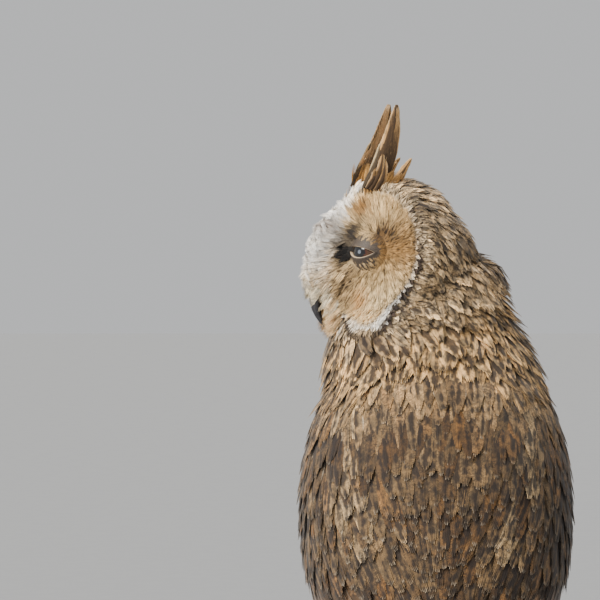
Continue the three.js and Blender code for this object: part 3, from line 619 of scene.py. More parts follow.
def coat(name, batches, finish, replaced=()):
    """Joined meshes of feathers, in as many pieces as keep each under the largest size."""
    total = 0
    for batch in batches:
        _, stations, around, _ = batch["rings"].shape
        batch["tubes"] = batch["each"] // (stations * around)
        total += len(batch["unwrap"]) * batch["tubes"] * 2 * ((stations - 1) * around + around - 2)
    shares = max(1, math.ceil(total / LARGEST_PIECE))
    for part in range(shares):
        points, quads, caps, patches, vane = [], [], [], [], []
        dyes = {key: [] for key in ("ground", "mark", "plan", "build")}
        start = 0
        for batch in batches:
            count = len(batch["unwrap"])
            each = batch["each"]
            chosen = np.arange(count) * shares // count == part
            if not chosen.any():
                continue
            rings = batch["rings"][np.repeat(chosen, batch["tubes"])]
            walls, ends = lofted(rings)
            quads.append(walls + start)
            caps.append(ends + start)
            points.append(rings.reshape(-1, 3))
            corner_chosen = np.repeat(chosen, each)
            across, along, under = (batch[key][corner_chosen] for key in ("across", "along", "under"))
            vane.append(np.stack([across, along], -1))
            patch = np.stack([across - 0.5, along - 0.5 - under], -1) * BAKE_PATCH
            patches.append(np.repeat(batch["unwrap"][chosen], each, axis=0) + patch)
            for key, values in dyes.items():
                values.append(np.repeat(batch["dyes"][key][chosen], each, axis=0))
            start += len(points[-1])
        points = np.concatenate(points)
        corners = np.concatenate([faces.ravel() for faces in quads + caps])
        sizes = np.concatenate([np.full(len(faces), faces.shape[1]) for faces in quads + caps])
        mesh = bpy.data.meshes.new(name)
        mesh.vertices.add(len(points))
        mesh.vertices.foreach_set("co", in_scene(points).ravel())
        mesh.loops.add(len(corners))
        mesh.loops.foreach_set("vertex_index", corners)
        mesh.polygons.add(len(sizes))
        mesh.polygons.foreach_set("loop_start", np.concatenate([[0], np.cumsum(sizes)[:-1]]))
        mesh.update(calc_edges=True)
        patches = np.concatenate(patches)
        low, high = patches.min(0), patches.max(0)
        spread = 0.004 + (patches - low) / (high - low) * 0.992
        for map_name, places in (("OFBake", spread), ("Vane", np.concatenate(vane))):
            mesh.uv_layers.new(name=map_name).data.foreach_set("uv", places[corners].ravel())
        for key, values in dyes.items():
            dye = mesh.color_attributes.new(key, "FLOAT_COLOR", "POINT")
            dye.data.foreach_set("color", np.concatenate(values).ravel())
        mesh.shade_smooth()
        mesh.set_sharp_from_angle(angle=math.radians(50))
        mesh.materials.append(finish)
        piece = placed(name if shares == 1 else f"{name}_{part + 1}", mesh)
        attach(piece, "root")
    if replaced:
        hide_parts(*replaced)


def plume_finish(name, barb, roughness, bump, mottled, hairy, uneven=1.3):
    """The finish of a feather: fine barbs, a shaft streak, cross bars, specks and a pale edge."""
    finish, tree, shader = fresh_finish(
        name, roughness, Specular_IOR_Level=0.2, Sheen_Weight=0.25, Sheen_Roughness=0.5
    )

    def dye_of(key):
        return wire(tree, "ShaderNodeAttribute", {}, attribute_name=key)

    def times(first, second):
        return reckon(tree, "MULTIPLY", first, second)

    def less(first, second):
        return reckon(tree, "SUBTRACT", first, second)

    def larger(first, second):
        return reckon(tree, "MAXIMUM", first, second)

    def vane_grain(down, sideways, *texture):
        """Noise over the vane, stretched along or across it, and another one for each feather."""
        return grain(tree, vector_of(tree, down, sideways, seed), 1.0, *texture)

    vane = wire(tree, "ShaderNodeUVMap", {}, uv_map="Vane").outputs["UV"]
    x, along, _ = wire(tree, "ShaderNodeSeparateXYZ", {0: vane}).outputs
    plan, build = dye_of("plan"), dye_of("build")
    plans = wire(tree, "ShaderNodeSeparateColor", {0: plan.outputs["Color"]})
    streak_plan, bar_plan, speck_plan = plans.outputs
    long, wide, seed = wire(tree, "ShaderNodeSeparateColor", {0: build.outputs["Color"]}).outputs
    ground, mark = dye_of("ground").outputs["Color"], dye_of("mark").outputs["Color"]

    # Places on the vane, as shares and in millimetres, and the barbs that slant out from the shaft.
    seed = times(seed, 60.0)
    across = less(x, 0.5)
    aside = times(reckon(tree, "ABSOLUTE", across), 2.0)
    along_mm = times(along, times(long, 100.0))
    aside_mm = times(across, times(wide, 50.0))
    slant = less(along_mm, times(reckon(tree, "ABSOLUTE", aside_mm), 1.1))
    barbs = vane_grain(times(slant, barb), times(aside_mm, barb * 0.12), 2.0, 0.6)
    patches = vane_grain(times(along_mm, 0.24), times(aside_mm, 0.3), 2.0, 0.5)
    waver = less(patches, 0.5)

    # The dark streak along the shaft, the cross bars and the specks.
    streak_to = times(streak_plan, less(1.55, times(along, 1.25)))
    streak_edge = reckon(tree, "ADD", streak_to, times(waver, uneven))
    streak_edge = reckon(tree, "ADD", streak_edge, times(less(barbs, 0.5), 0.3))
    streak = between(tree, less(streak_edge, aside), -0.22, 0.26)
    streak = times(streak, reckon(tree, "GREATER_THAN", streak_plan, 0.02))
    wave = times(reckon(tree, "DIVIDE", along_mm, times(build.outputs["Alpha"], 20.0)), 6.283)
    bent = less(reckon(tree, "ADD", wave, times(waver, 6.0)), times(aside, 1.2))
    bar = times(between(tree, reckon(tree, "SINE", bent), 0.0, 0.75), bar_plan)
    speck = vane_grain(times(along_mm, 1.15), times(aside_mm, 0.5), 3.0, 0.65, 0.9)
    speck = times(between(tree, speck, 0.43, 0.6), speck_plan)
    dark = larger(larger(streak, bar), times(speck, 0.8))

    # The ground with its pale edge, the marks over it, and light and dark strands.
    pale_edge = larger(between(tree, aside, 0.72, 0.95), between(tree, along, 0.9, 0.99))
    cool = dyed(tree, mottled, ground, (0.42, 0.44, 0.47, 1), "MULTIPLY")
    warm = dyed(tree, mottled, ground, (1.3, 1.14, 0.9, 1), "MULTIPLY")
    ground = dyed(tree, between(tree, patches, 0.4, 0.6), warm, cool)
    bright = dyed(tree, 0.35, ground, (1.0, 0.88, 0.68, 1))
    base = dyed(tree, times(pale_edge, plan.outputs["Alpha"]), ground, bright)
    marked = dyed(tree, times(dark, 0.9), base, mark)
    strands = vane_grain(times(x, 13.0), times(along, 1.3), 2.0)
    lightness = times(
        between(tree, barbs, 0.25, 0.75, 0.72, 1.18), between(tree, strands, 0.3, 0.7, 1 - hairy, 1 + hairy)
    )
    shaded = wire(tree, "ShaderNodeHueSaturation", {"Value": lightness, "Color": marked})
    tree.links.new(shaded.outputs["Color"], shader.inputs["Base Color"])
    raised(tree, shader, barbs, bump, 0.25 * MM)
    return finish


def round_body(roots):
    """The unwrap of the body round its upright axis."""
    angle = np.arctan2(roots[:, 0], -(roots[:, 1] - 5)) / (2 * np.pi) + 0.5
    return np.stack([angle, roots[:, 2] / 320], -1)


def round_head(roots):
    """The unwrap of the head round its line from the back to the bill."""
    head = unit(on_head(roots))
    away = np.arccos(np.clip(head[:, 0], -1, 1)) / np.pi
    turned = np.arctan2(head[:, 1], head[:, 2])
    return np.stack([0.5 + away * np.sin(turned) / 2, 0.5 + away * np.cos(turned) / 2], -1)


BILL_BASE = np.array([34.0, 0.0, -8.0])
centres = skin_points[skin_faces].mean(1)
centre_heads = on_head(centres)
centre_reach = np.linalg.norm(centre_heads, axis=1)
centre_share, _ = disc_place(centre_heads)
centre_aside = aside_of(centre_heads)
centre_eye, _ = eye_place(centre_heads)
is_head = (centre_reach < HEAD_REACH) & (centre_heads[:, 2] > -44)
is_face = is_head & (centre_share < 0.86)
is_leg = (centres[:, 2] < LEG_TOP - 4) & (from_leg(centres) < 26)
is_leg |= (centres[:, 2] < 30) & (centres[:, 1] < 60)
is_toe = (centres[:, 2] < ANKLE) & (centres[:, 1] < 60)
is_body = ~is_head & ~is_leg


def body_lie(points):
    """Which way the feathers grow: back from the bill over the head, and down its nape and the body."""
    lie = np.zeros_like(points)
    lie[:, 2] = -1
    lie[:, 1] = 0.35 * ease(120, 70, points[:, 2])
    head = on_head(points)
    from_bill = unit(head - BILL_BASE)
    from_bill[:, 2] -= 1.3 * ease(8, -26, head[:, 0])
    share = ease(HEAD_REACH + 12, HEAD_REACH - 4, np.linalg.norm(head, axis=1))[:, None]
    return lie * (1 - share) + from_bill @ HEAD_AXES * share


def for_each(roots, value):
    """A value for each root, the same for all of them or found from where they stand."""
    return value(roots) if callable(value) else np.full(len(roots), float(value))


def grown(least, more, share_of):
    """A size that grows with a share that depends on the place."""
    return lambda points: least + more * share_of(points)


def tufts(wanted, spacing, length, width, rise, strands, lie_of, rooted_in, vary, **shape):
    """One batch of feathers over part of the skin."""
    roots, normals = planted(wanted, spacing)
    count = len(roots)
    scatter = chance.normal(0, 1, (count, 4))
    lie = lie_of(roots)
    lie = unit(lie - normals * (lie * normals).sum(1, keepdims=True))
    lie = lie + np.cross(normals, lie) * (scatter[:, :1] * vary)
    lengths = for_each(roots, length) * (1 + 0.1 * scatter[:, 1])
    widths = for_each(roots, width) * (1 + 0.08 * scatter[:, 2])
    tops = for_each(roots, rise) * (1 + 0.14 * scatter[:, 3])
    paths, outs = laid_along(roots, lie, lengths, (np.full(count, ROOT_UNDER), tops))
    batch = soft_feathers(paths, outs, widths, strands, **shape)
    ground, mark, plan = markings(roots, normals)
    uneven = 0.1 + 0.45 * plan[:, 2:3]
    ground = ground * np.exp(chance.normal(0, 1, (count, 1)) * uneven + 1.3 * uneven * drift(roots)[:, None])
    plan = np.clip(plan * chance.uniform(0.45, 1.35, (count, 4)), 0, 1)
    return dressed(batch, roots, (ground, mark, plan), lengths, widths, 7.0, rooted_in)


under_wing = np.zeros(len(centres), bool)
section = cloak_section(centres[:, 2])
for side in (1, -1):
    outward, rearward = side * centres[:, 0] / section[:, 0], (centres[:, 1] - section[:, 2]) / section[:, 1]
    angle = np.degrees(np.arctan2(rearward, outward))
    inside = (angle > section[:, 3] + 9) & (angle < section[:, 4] - 16) & (centres[:, 2] < 200)
    under_wing |= inside & (side * centres[:, 0] > 0) & (centres[:, 2] > 60)


def at_nape(points):
    head = on_head(points)
    return ease(-8, -28, head[:, 0]) * ease(34, 14, head[:, 2])


def below_neck(points):
    return ease(255, 215, points[:, 2])


def off_face(points):
    return np.maximum(ease(262, 225, points[:, 2]), 0.8 * ease(-5, -25, on_head(points)[:, 0]))


def up_leg(points):
    return ease(40, 80, points[:, 2])


def leg_lie(points):
    lie = np.zeros_like(points)
    toe_share = ease(24, 9, points[:, 2])
    lie[:, 2] = -1 + 0.75 * toe_share
    lie[:, 0] = (np.abs(points[:, 0]) - LEG_X) * np.sign(points[:, 0]) * toe_share / 12
    lie[:, 1] = (points[:, 1] - 3) * toe_share / 12
    return lie


soft_plume = plume_finish("contour_plume", 2.6, 0.85, 0.4, 0.75, 0.22)
crown_batch = tufts(
    is_head & ~is_face & (centre_share > 1.0), spacing=2.2,
    length=grown(8, 9, at_nape), width=grown(4.6, 2.6, at_nape), rise=grown(2.6, 3.2, at_nape),
    strands=6, lie_of=body_lie, rooted_in=round_head, vary=0.15,
)
body_batch = tufts(
    is_body & ~under_wing, spacing=3.7,
    length=grown(13, 8, below_neck), width=grown(6.4, 4.6, below_neck), rise=grown(3.2, 2.6, off_face),
    strands=9, lie_of=body_lie, rooted_in=round_body, vary=0.2,
    rounded=1.4, fullness=0.75, camber=0.16, ragged=0.9,
)
coat("feathers_head", [crown_batch], soft_plume)
coat("feathers_body", [body_batch], soft_plume)
leg_batch = tufts(
    is_leg & ~is_toe, spacing=2.9,
    length=grown(6, 5, up_leg), width=grown(3.6, 2.4, up_leg), rise=grown(1.8, 1.2, up_leg),
    strands=4, lie_of=leg_lie, rooted_in=round_body, vary=0.15,
)
toe_batch = tufts(
    is_toe, spacing=1.9, length=4.6, width=2.2, rise=1.1,
    strands=3, lie_of=leg_lie, rooted_in=round_body, vary=0.2,
)
coat("feathers_legs", [leg_batch, toe_batch], soft_plume)

# Face
# Two dished discs of loose, hair-like feathers that ray out from the eyes, white fans of bristle between
# them that hide the root of the bill, and a ruff of short stiff feathers round both.
RAYS_FROM = EYE_AT - [6, 0, 0]


def face_lie(points):
    head = on_head(points)
    start = np.tile(RAYS_FROM, (len(head), 1))
    start[:, 1] *= np.sign(head[:, 1])
    rays = unit(head - start)
    rays[:, 2] -= 0.12
    return rays @ HEAD_AXES


def face_length(points):
    head = on_head(points)
    away, _ = eye_place(head)
    share, _ = disc_place(head)
    aside = aside_of(head)
    long = 4.5 + 5.5 * ease(9, 22, away) + 2.5 * ease(24, 8, aside)
    return long * (1 - 0.55 * ease(0.62, 0.86, share) * ease(12, 24, aside))


def face_rise(points):
    head = on_head(points)
    away, _ = eye_place(head)
    return 1.2 + 1.2 * ease(9, 20, away) + 2.6 * ease(22, 6, aside_of(head))


def border(low, high):
    """The head's faces between two shares of the disc's reach, apart from those over the bill."""
    return is_head & (centre_share > low) & (centre_share < high) & (centre_aside > 12)


hair_plume = plume_finish("face_plume", 2.2, 0.9, 0.3, 0.15, 0.25)
face_batch = tufts(
    is_face & (centre_eye > 7.6), spacing=1.3, length=face_length, width=2.7, rise=face_rise,
    strands=5, lie_of=face_lie, rooted_in=round_head, vary=0.11, fullness=0.1, camber=0.05, taper=HAIR_TAPER,
)
rim_batch = tufts(
    border(0.8, 0.9), spacing=1.0, length=3.0, width=1.5, rise=1.3,
    strands=3, lie_of=face_lie, rooted_in=round_head, vary=0.1, fullness=0.3, ragged=0.4, taper=HAIR_TAPER,
)
ruff_batch = tufts(
    border(0.925, 1.1), spacing=1.6, length=4.0, width=2.6, rise=1.7,
    strands=4, lie_of=body_lie, rooted_in=round_head, vary=0.2, fullness=0.4,
)
line_batch = tufts(
    border(0.915, 0.955) & (centre_heads[:, 2] < 8), spacing=1.1, length=3.2, width=1.7, rise=1.9,
    strands=3, lie_of=face_lie, rooted_in=round_head, vary=0.1, fullness=0.3, taper=HAIR_TAPER,
)
brow_batch = tufts(
    is_face & (centre_eye > 11) & (centre_aside < 30), spacing=1.7, length=7.5, width=1.5, rise=3.6,
    strands=3, lie_of=face_lie, rooted_in=round_head, vary=0.35, fullness=0.0, camber=0.0, taper=HAIR_TAPER,
)
coat("feathers_face", [face_batch, brow_batch], hair_plume)
coat("feathers_ruff", [rim_batch, line_batch, ruff_batch], hair_plume)

# Eyes and lids
# Glossy eyes with a dark orange-brown iris under a clear bulging cornea, set in the discs and turned out
# from the bill. The lids are thin walls of bare dark skin with a pale lip round an almond opening, and tiny
# feathers cover all but their rims.
EYE_RADIUS = 9.7
CORNEA = {"rise": 0.7, "angle": 46}
PUPIL, IRIS = 27, 56
EYE_ROUND, EYE_DOWN = 56, 40
LID = {
    "radius": 10.55, "rim": 0.35, "lip": 9.75, "lip_share": 0.3, "half_long": 8.6, "above": 2.4,
    "below": 3.7, "tilt": 5, "raised": 1.3, "reach": 84, "thick": 0.3, "round": 73, "down": 18,
    "pale_rows": 4,
}
LID_FEATHERS = 950
LID_FEATHER_WIDTH = 2.0
SEAM = 0.004 * MM


def on_eye(side, polar, heading, radius):
    """Points round an eye. polar is their angle from its line of sight, heading runs from the rear up."""
    sight = np.array([math.cos(EYE_TURN), side * math.sin(EYE_TURN), 0])
    back = np.array([-math.sin(EYE_TURN), side * math.cos(EYE_TURN), 0])
    tilt = math.radians(LID["tilt"])
    up = np.array([0, 0, 1.0])
    rear = back * math.cos(tilt) - up * math.sin(tilt)
    upward = back * math.sin(tilt) + up * math.cos(tilt)
    flat = np.sin(polar) * radius
    local = sight * (np.cos(polar) * radius)[:, None]
    local = local + rear * (flat * np.cos(heading))[:, None] + upward * (flat * np.sin(heading))[:, None]
    return off_head(local + EYE_AT * np.array([1, side, 1]))


def grid_form(across, along, shape):
    """A grid bent into a form. shape gives points for the shares across and along it."""
    form = bmesh.new()
    bmesh.ops.create_grid(form, x_segments=across, y_segments=along, size=1)
    shares = np.array([[(v.co.x + 1) / 2, (v.co.y + 1) / 2] for v in form.verts])
    for corner, point in zip(form.verts, in_scene(shape(shares[:, 0], shares[:, 1]))):
        corner.co = point
    return form


def closed(form):
    """Merges a form's seams and poles, fills its open ends, and turns its faces outwards."""
    bmesh.ops.remove_doubles(form, verts=form.verts, dist=SEAM)
    bmesh.ops.holes_fill(form, edges=[e for e in form.edges if e.is_boundary], sides=0)
    bmesh.ops.recalc_face_normals(form, faces=form.faces)
    return form


def smooth_piece(name, form, finish):
    """A finished piece with soft shading from a form."""
    piece = placed(name, bare_mesh(name, form))
    piece.data.shade_smooth()
    piece.data.materials.append(finish)
    return piece


def opaque(*colour):
    return (*tone(*colour), 1)


eye_finish, tree, shader = fresh_finish(
    "eye", 0.12, Coat_Weight=1.0, Coat_Roughness=0.02, Coat_IOR=1.38, Specular_IOR_Level=0.5
)
place = wire(tree, "ShaderNodeUVMap", {}, uv_map="Iris").outputs["UV"]
round_it, down_it, _ = wire(tree, "ShaderNodeSeparateXYZ", {0: place}).outputs
turn = reckon(tree, "MULTIPLY", round_it, 6.2832)
fibre_x = reckon(tree, "MULTIPLY", reckon(tree, "COSINE", turn), 9.0)
fibre_y = reckon(tree, "MULTIPLY", reckon(tree, "SINE", turn), 9.0)
fibre_at = vector_of(tree, fibre_x, fibre_y, reckon(tree, "MULTIPLY", down_it, 6.0))
fibres = grain(tree, fibre_at, 1.6, 4, 0.7)
amber = dyed(tree, between(tree, fibres, 0.3, 0.7), opaque(44, 27, 16), opaque(84, 54, 28))
inner = between(tree, down_it, PUPIL / 180, PUPIL / 180 + 0.05)
amber = dyed(tree, inner, opaque(64, 26, 9), amber)
iris_edge = between(tree, down_it, IRIS / 180 - 0.035, IRIS / 180)
amber = dyed(tree, iris_edge, amber, opaque(24, 14, 9))
pupil = between(tree, down_it, PUPIL / 180 - 0.006, PUPIL / 180 + 0.006)
tree.links.new(dyed(tree, pupil, (0.003, 0.003, 0.004, 1), amber), shader.inputs["Base Color"])

lid_finish, tree, shader = fresh_finish("lid_skin", 0.6)
lip_share = wire(tree, "ShaderNodeAttribute", {}, attribute_name="lip").outputs["Fac"]
place = wire(tree, "ShaderNodeTexCoord", {}).outputs["Object"]
wrinkles = grain(tree, place, 1900, 3, 0.6)
lid_colour = dyed(tree, between(tree, wrinkles, 0.3, 0.7), opaque(50, 42, 35), opaque(84, 71, 59))
lid_colour = dyed(tree, lip_share, lid_colour, opaque(190, 166, 134))
tree.links.new(lid_colour, shader.inputs["Base Color"])
raised(tree, shader, wrinkles, 0.4, 0.2 * MM)

for side, side_name in ((1, "left"), (-1, "right")):

    def eyeball(share_round, share_down):
        polar = share_down * math.pi
        bulge = CORNEA["rise"] * np.clip(1 - (np.degrees(polar) / CORNEA["angle"]) ** 2, 0, 1)
        return on_eye(side, polar, share_round * 2 * math.pi * side, EYE_RADIUS + bulge)

    form = grid_form(EYE_ROUND, EYE_DOWN, eyeball)
    iris_map = form.loops.layers.uv.new("Iris")
    for face in form.faces:
        for loop in face.loops:
            down, around = divmod(loop.vert.index, EYE_ROUND)
            loop[iris_map].uv = (around / (EYE_ROUND - 1), down / (EYE_DOWN - 1))
    eye = smooth_piece(f"eyeball_{side_name}", closed(form), eye_finish)
    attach(eye, "root")
    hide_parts(f"eye_{side_name}")

    def lid(share_round, share_out):
        turn = share_round * 2 * math.pi * side
        flat_x = LID["half_long"] * np.cos(turn)
        height = np.where(np.sin(turn) > 0, LID["above"], LID["below"])
        flat_y = height * np.sin(turn) * np.abs(np.sin(turn)) ** 0.6 + LID["raised"]
        opening = np.arcsin(np.clip(np.hypot(flat_x, flat_y) / LID["radius"], 0, 0.999))
        heading = np.arctan2(flat_y, flat_x)
        out = np.clip((share_out - LID["lip_share"]) / (1 - LID["lip_share"]), 0, 1)
        polar = opening + (math.radians(LID["reach"]) - opening) * out
        spread = np.arctan2(np.sin(turn), np.cos(turn))
        heading = heading + (((spread - heading + np.pi) % (2 * np.pi)) - np.pi) * out
        lip = np.clip(share_out / LID["lip_share"], 0, 1)
        radius = LID["lip"] + (LID["radius"] + LID["rim"] - LID["lip"]) * np.sin(lip * np.pi / 2)
        radius = radius - LID["rim"] * ease(0, 0.15, out)
        return on_eye(side, polar - 0.02 * np.sin(lip * np.pi), heading, radius)

    form = grid_form(LID["round"], LID["down"], lid)
    lip_layer = form.verts.layers.float.new("lip")
    for corner in form.verts:
        row, around = divmod(corner.index, LID["round"])
        rearward = 0.5 + 0.5 * math.cos(2 * math.pi * around / (LID["round"] - 1))
        corner[lip_layer] = float(ease(0.05, 0.35, rearward)) if row <= LID["pale_rows"] else 0.0
    bmesh.ops.remove_doubles(form, verts=form.verts, dist=SEAM)
    bmesh.ops.recalc_face_normals(form, faces=form.faces)

    # The lids' feathers, which follow the skin of the lids outwards.
    lid_points = in_drawing([v.co[:] for v in form.verts])
    lid_tree = BVHTree.FromPolygons(lid_points.tolist(), [[v.index for v in f.verts] for f in form.faces])
    share_round = chance.random(LID_FEATHERS)
    bare = 0.33 + 0.06 * np.maximum(np.sin(share_round * 2 * math.pi * side), 0)
    share_out = bare + (0.96 - bare) * chance.random(LID_FEATHERS) ** 0.8
    roots = lid(share_round, share_out)
    ahead = lid(share_round, share_out + 0.03) - roots
    lengths = 1.7 + 5.8 * share_out + chance.normal(0, 0.3, LID_FEATHERS)
    widths = np.full(LID_FEATHERS, LID_FEATHER_WIDTH)
    rise = (np.full(LID_FEATHERS, -0.1), 0.25 + 0.6 * share_out)
    paths, outs = laid_along(roots, unit(ahead), lengths, rise, lid_tree)
    batch = soft_feathers(paths, outs, widths, 4, fullness=0.1, taper=HAIR_TAPER)
    ground, mark, plan = markings(roots, outs[:, 0])
    ground = ground * np.exp(chance.normal(0, 0.1, (LID_FEATHERS, 1)))
    dressed(batch, roots, (ground, mark, plan), lengths, widths, 7.0, round_head)
    coat(f"lid_feathers_{side_name}", [batch], hair_plume)

    # The faces of the lids' skin are turned away from the eye, and then it gets its thickness.
    form.faces.ensure_lookup_table()
    centre = Vector(in_scene(off_head(EYE_AT * np.array([1, side, 1]))))
    if form.faces[0].normal.dot(form.faces[0].calc_center_median() - centre) < 0:
        bmesh.ops.reverse_faces(form, faces=form.faces)
    bmesh.ops.solidify(form, geom=form.faces[:], thickness=LID["thick"] * MM)
    bmesh.ops.recalc_face_normals(form, faces=form.faces)
    lids = smooth_piece(f"lids_{side_name}", form, lid_finish)
    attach(lids, "root")

# Bill
# A short hooked upper bill of dark horn over a smaller lower one. The gap between them is the mouth's line,
# and the nostrils are pits in the softer skin of the cere beside the ridge.
BILL_LINE = np.array([[31.0, 0, -7], [36.5, 0, -13], [39.4, 0, -20], [39.0, 0, -27.5], [35.6, 0, -35.0]])
LOWER_LINE = np.array([[27.0, 0, -19.5], [31.5, 0, -25.0], [34.2, 0, -30.2]])
BILL_HALF = 5.6
NOSTRIL_DEEP = 1.3


def smooth_line(stations, share):
    """Points on a smooth curve through the stations, and the way along it."""
    share = np.asarray(share, float) * (len(stations) - 1)
    i = np.clip(share.astype(int), 0, len(stations) - 2)
    part = (share - i)[..., None]
    a, b = stations[i], stations[i + 1]
    before = stations[np.maximum(i - 1, 0)]
    after = stations[np.minimum(i + 2, len(stations) - 1)]
    slope_a, slope_b = (b - before) / 2, (after - a) / 2
    square, cube = part**2, part**3
    at = (2 * cube - 3 * square + 1) * a + (cube - 2 * square + part) * slope_a
    at = at + (3 * square - 2 * cube) * b + (cube - square) * slope_b
    way = (6 * square - 6 * part) * (a - b) + (3 * square - 4 * part + 1) * slope_a
    return at, unit(way + (3 * square - 2 * part) * slope_b)


def bill_place(line, share_along):
    """Places along a line of the bill, and the way out over it there."""
    at, way = smooth_line(line, share_along)
    over = np.cross(way, np.array([0, 1.0, 0]))
    return at, np.where(over[:, :1] < 0, -over, over)


def upper_bill(share_round, share_along):
    at, over = bill_place(BILL_LINE, share_along)
    turn = share_round * 2 * np.pi
    taper = BILL_HALF * (1 - 0.97 * share_along**1.7)
    above = np.sin(turn) > 0
    side_reach = taper * np.cos(turn) * (1 - 0.28 * np.clip(np.sin(turn), 0, 1) ** 2)
    point = at + over * (taper * np.sin(turn) * np.where(above, 1.0, 0.8))[:, None]
    nostril = np.exp(-(((share_along - 0.36) / 0.045) ** 2) - ((np.abs(np.sin(turn)) - 0.62) / 0.22) ** 2)
    point[:, 1] += side_reach - np.sign(side_reach) * nostril * above * NOSTRIL_DEEP
    return off_head(point)


def lower_bill(share_round, share_along):
    at, over = bill_place(LOWER_LINE, share_along)
    turn = share_round * 2 * np.pi
    taper = 1 - 0.75 * share_along**1.5
    point = at + over * (3.4 * taper * np.sin(turn))[:, None]
    point[:, 1] += 4.3 * taper * np.cos(turn)
    return off_head(point)


horn_finish, tree, shader = fresh_finish("dark_horn", 0.38, Coat_Weight=0.25, Coat_Roughness=0.25)
place = wire(tree, "ShaderNodeTexCoord", {}).outputs["Object"]
stretched = wire(tree, "ShaderNodeMapping", {0: place, "Scale": (900, 900, 160)}).outputs[0]
growth = grain(tree, stretched, 1.0, 3, 0.6, 0.4)
horn = dyed(tree, between(tree, growth, 0.3, 0.7), opaque(30, 29, 32), opaque(62, 60, 62))
tree.links.new(horn, shader.inputs["Base Color"])
raised(tree, shader, growth, 0.25, 0.1 * MM)
for piece_name, shape, node_name in (
    ("horn_upper", upper_bill, "bill_upper"),
    ("horn_lower", lower_bill, "bill_lower"),
):
    bill = smooth_piece(piece_name, closed(grid_form(61, 48, shape)), horn_finish)
    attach(bill, "root")
    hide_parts(node_name)

# Bristles round the bill
# Stiff hair-like feathers that grow forwards and down from the lores over the sides of the bill, and short
# ones that close the corner of the mouth and the chin behind it.
BRISTLE_WIDTH = 2.4
# For each group of them: how many, the first and last root and way on the left side, the least and most
# length, and the colour.
BRISTLES = [
    (
        240, [[31, 6.0, -2], [27, 8.5, -18]], [[0.6, 0.02, -0.8], [0.68, -0.04, -0.74]],
        (9, 14), (240, 226, 196),
    ),
    (
        240, [[27, 8.0, -14], [24, 7.0, -30]], [[0.7, -0.02, -0.72], [0.84, -0.1, -0.54]],
        (10, 15), (230, 196, 148),
    ),
    (
        160, [[23, 6.5, -27], [18, 6.0, -36]], [[0.88, -0.1, -0.46], [0.86, -0.05, -0.5]],
        (8, 12), (222, 174, 116),
    ),
    (
        140, [[33, 3.5, 4], [31, 6.0, -6]], [[0.8, 0.12, -0.5], [0.75, 0.05, -0.66]],
        (8, 13), (250, 244, 232),
    ),
    (
        170, [[35.5, 2.5, -3], [33, 6.0, -10]], [[0.62, -0.02, -0.8], [0.66, -0.08, -0.76]],
        (10, 16), (244, 230, 200),
    ),
]


def bent_paths(roots, way, lengths, bend):
    """Nearly straight paths from the roots, which bend more and more to their ends."""
    step = np.linspace(0, 1, SECTIONS + 1)[None, :, None]
    return roots[:, None] + way[:, None] * step * lengths[:, None, None] + bend * step**2


def shaded(count, ground, mark, plan, uneven):
    """The dyes of a batch, with the ground of each feather a little lighter or darker than the next."""
    ground = np.broadcast_to(ground, (count, 3)) * np.exp(chance.normal(0, uneven, (count, 1)))
    return ground, np.tile(mark, (count, 1)), np.tile(plan, (count, 1))


bristle_batches = []
for side in (1, -1):
    flip = np.array([1, side, 1])
    for count, root_span, way_span, long_span, colour in BRISTLES:
        share = chance.random((count, 1))
        first, last = np.array(root_span, float)
        roots = first + (last - first) * share + chance.normal(0, 1.1, (count, 3))
        first, last = np.array(way_span, float)
        way = unit(first + (last - first) * share + chance.normal(0, 0.08, (count, 3)))
        lengths = long_span[0] + (long_span[1] - long_span[0]) * chance.random(count)
        widths = np.full(count, BRISTLE_WIDTH)
        paths = bent_paths(roots, way, lengths, np.array([0.0, 0, -1.8]))
        outs = np.broadcast_to(unit(np.array([0.25, 1.0, 0.2])), paths.shape)
        paths, outs = off_head(paths * flip), (outs * flip) @ HEAD_AXES
        batch = soft_feathers(paths, outs, widths, 4, fullness=-0.2, taper=HAIR_TAPER)
        colours = shaded(count, tone(*colour), tone(60, 48, 38), [0.12, 0.0, 0.3, 0.2], 0.28)
        bristle_batches.append(
            dressed(batch, off_head(roots * flip), colours, lengths, widths, 7.0, round_head)
        )
coat("bristles", bristle_batches, hair_plume)

# Ear tufts
# Two tufts of long feathers that stand up from the crown over the eyes and fan out to the rear.
# Each feather is dark along its middle and cream to ochre along its edges. They aren't the owl's ears.
TUFT_ROOT, TUFT_TIP = np.array([13.5, 12, 34]), np.array([2.0, 9.5, 75.5])
TUFT_FEATHERS = 18
TUFT_START, TUFT_SPAN = -4.6, 8.6
TUFT_DARK = 0.55
# The short feathers over the foot: their share of the tuft's length, their place to the rear, their layer
# outwards, and how far they fan out to the tip, or close up where it is below 0.
TUFT_SHORT = np.array([
    [0.46, 7.5, -2.2, 1.0],
    [0.4, 8.5, -3.0, 0.6],
    [0.36, -3.0, 4.2, -0.4],
    [0.42, 1.5, 3.8, -0.4],
    [0.5, -1.0, 4.2, -0.5],
])
FOOT_FEATHERS = 110
FOOT_WIDTH = 2.6
VANE_COLUMNS = np.array([-1, -0.64, -0.3, 0, 0.3, 0.64, 1])
VANE_THICK = 0.6
LONG_STATIONS = np.array([0, 0.1, 0.22, 0.35, 0.48, 0.6, 0.71, 0.8, 0.87, 0.93, 0.97, 1.0])


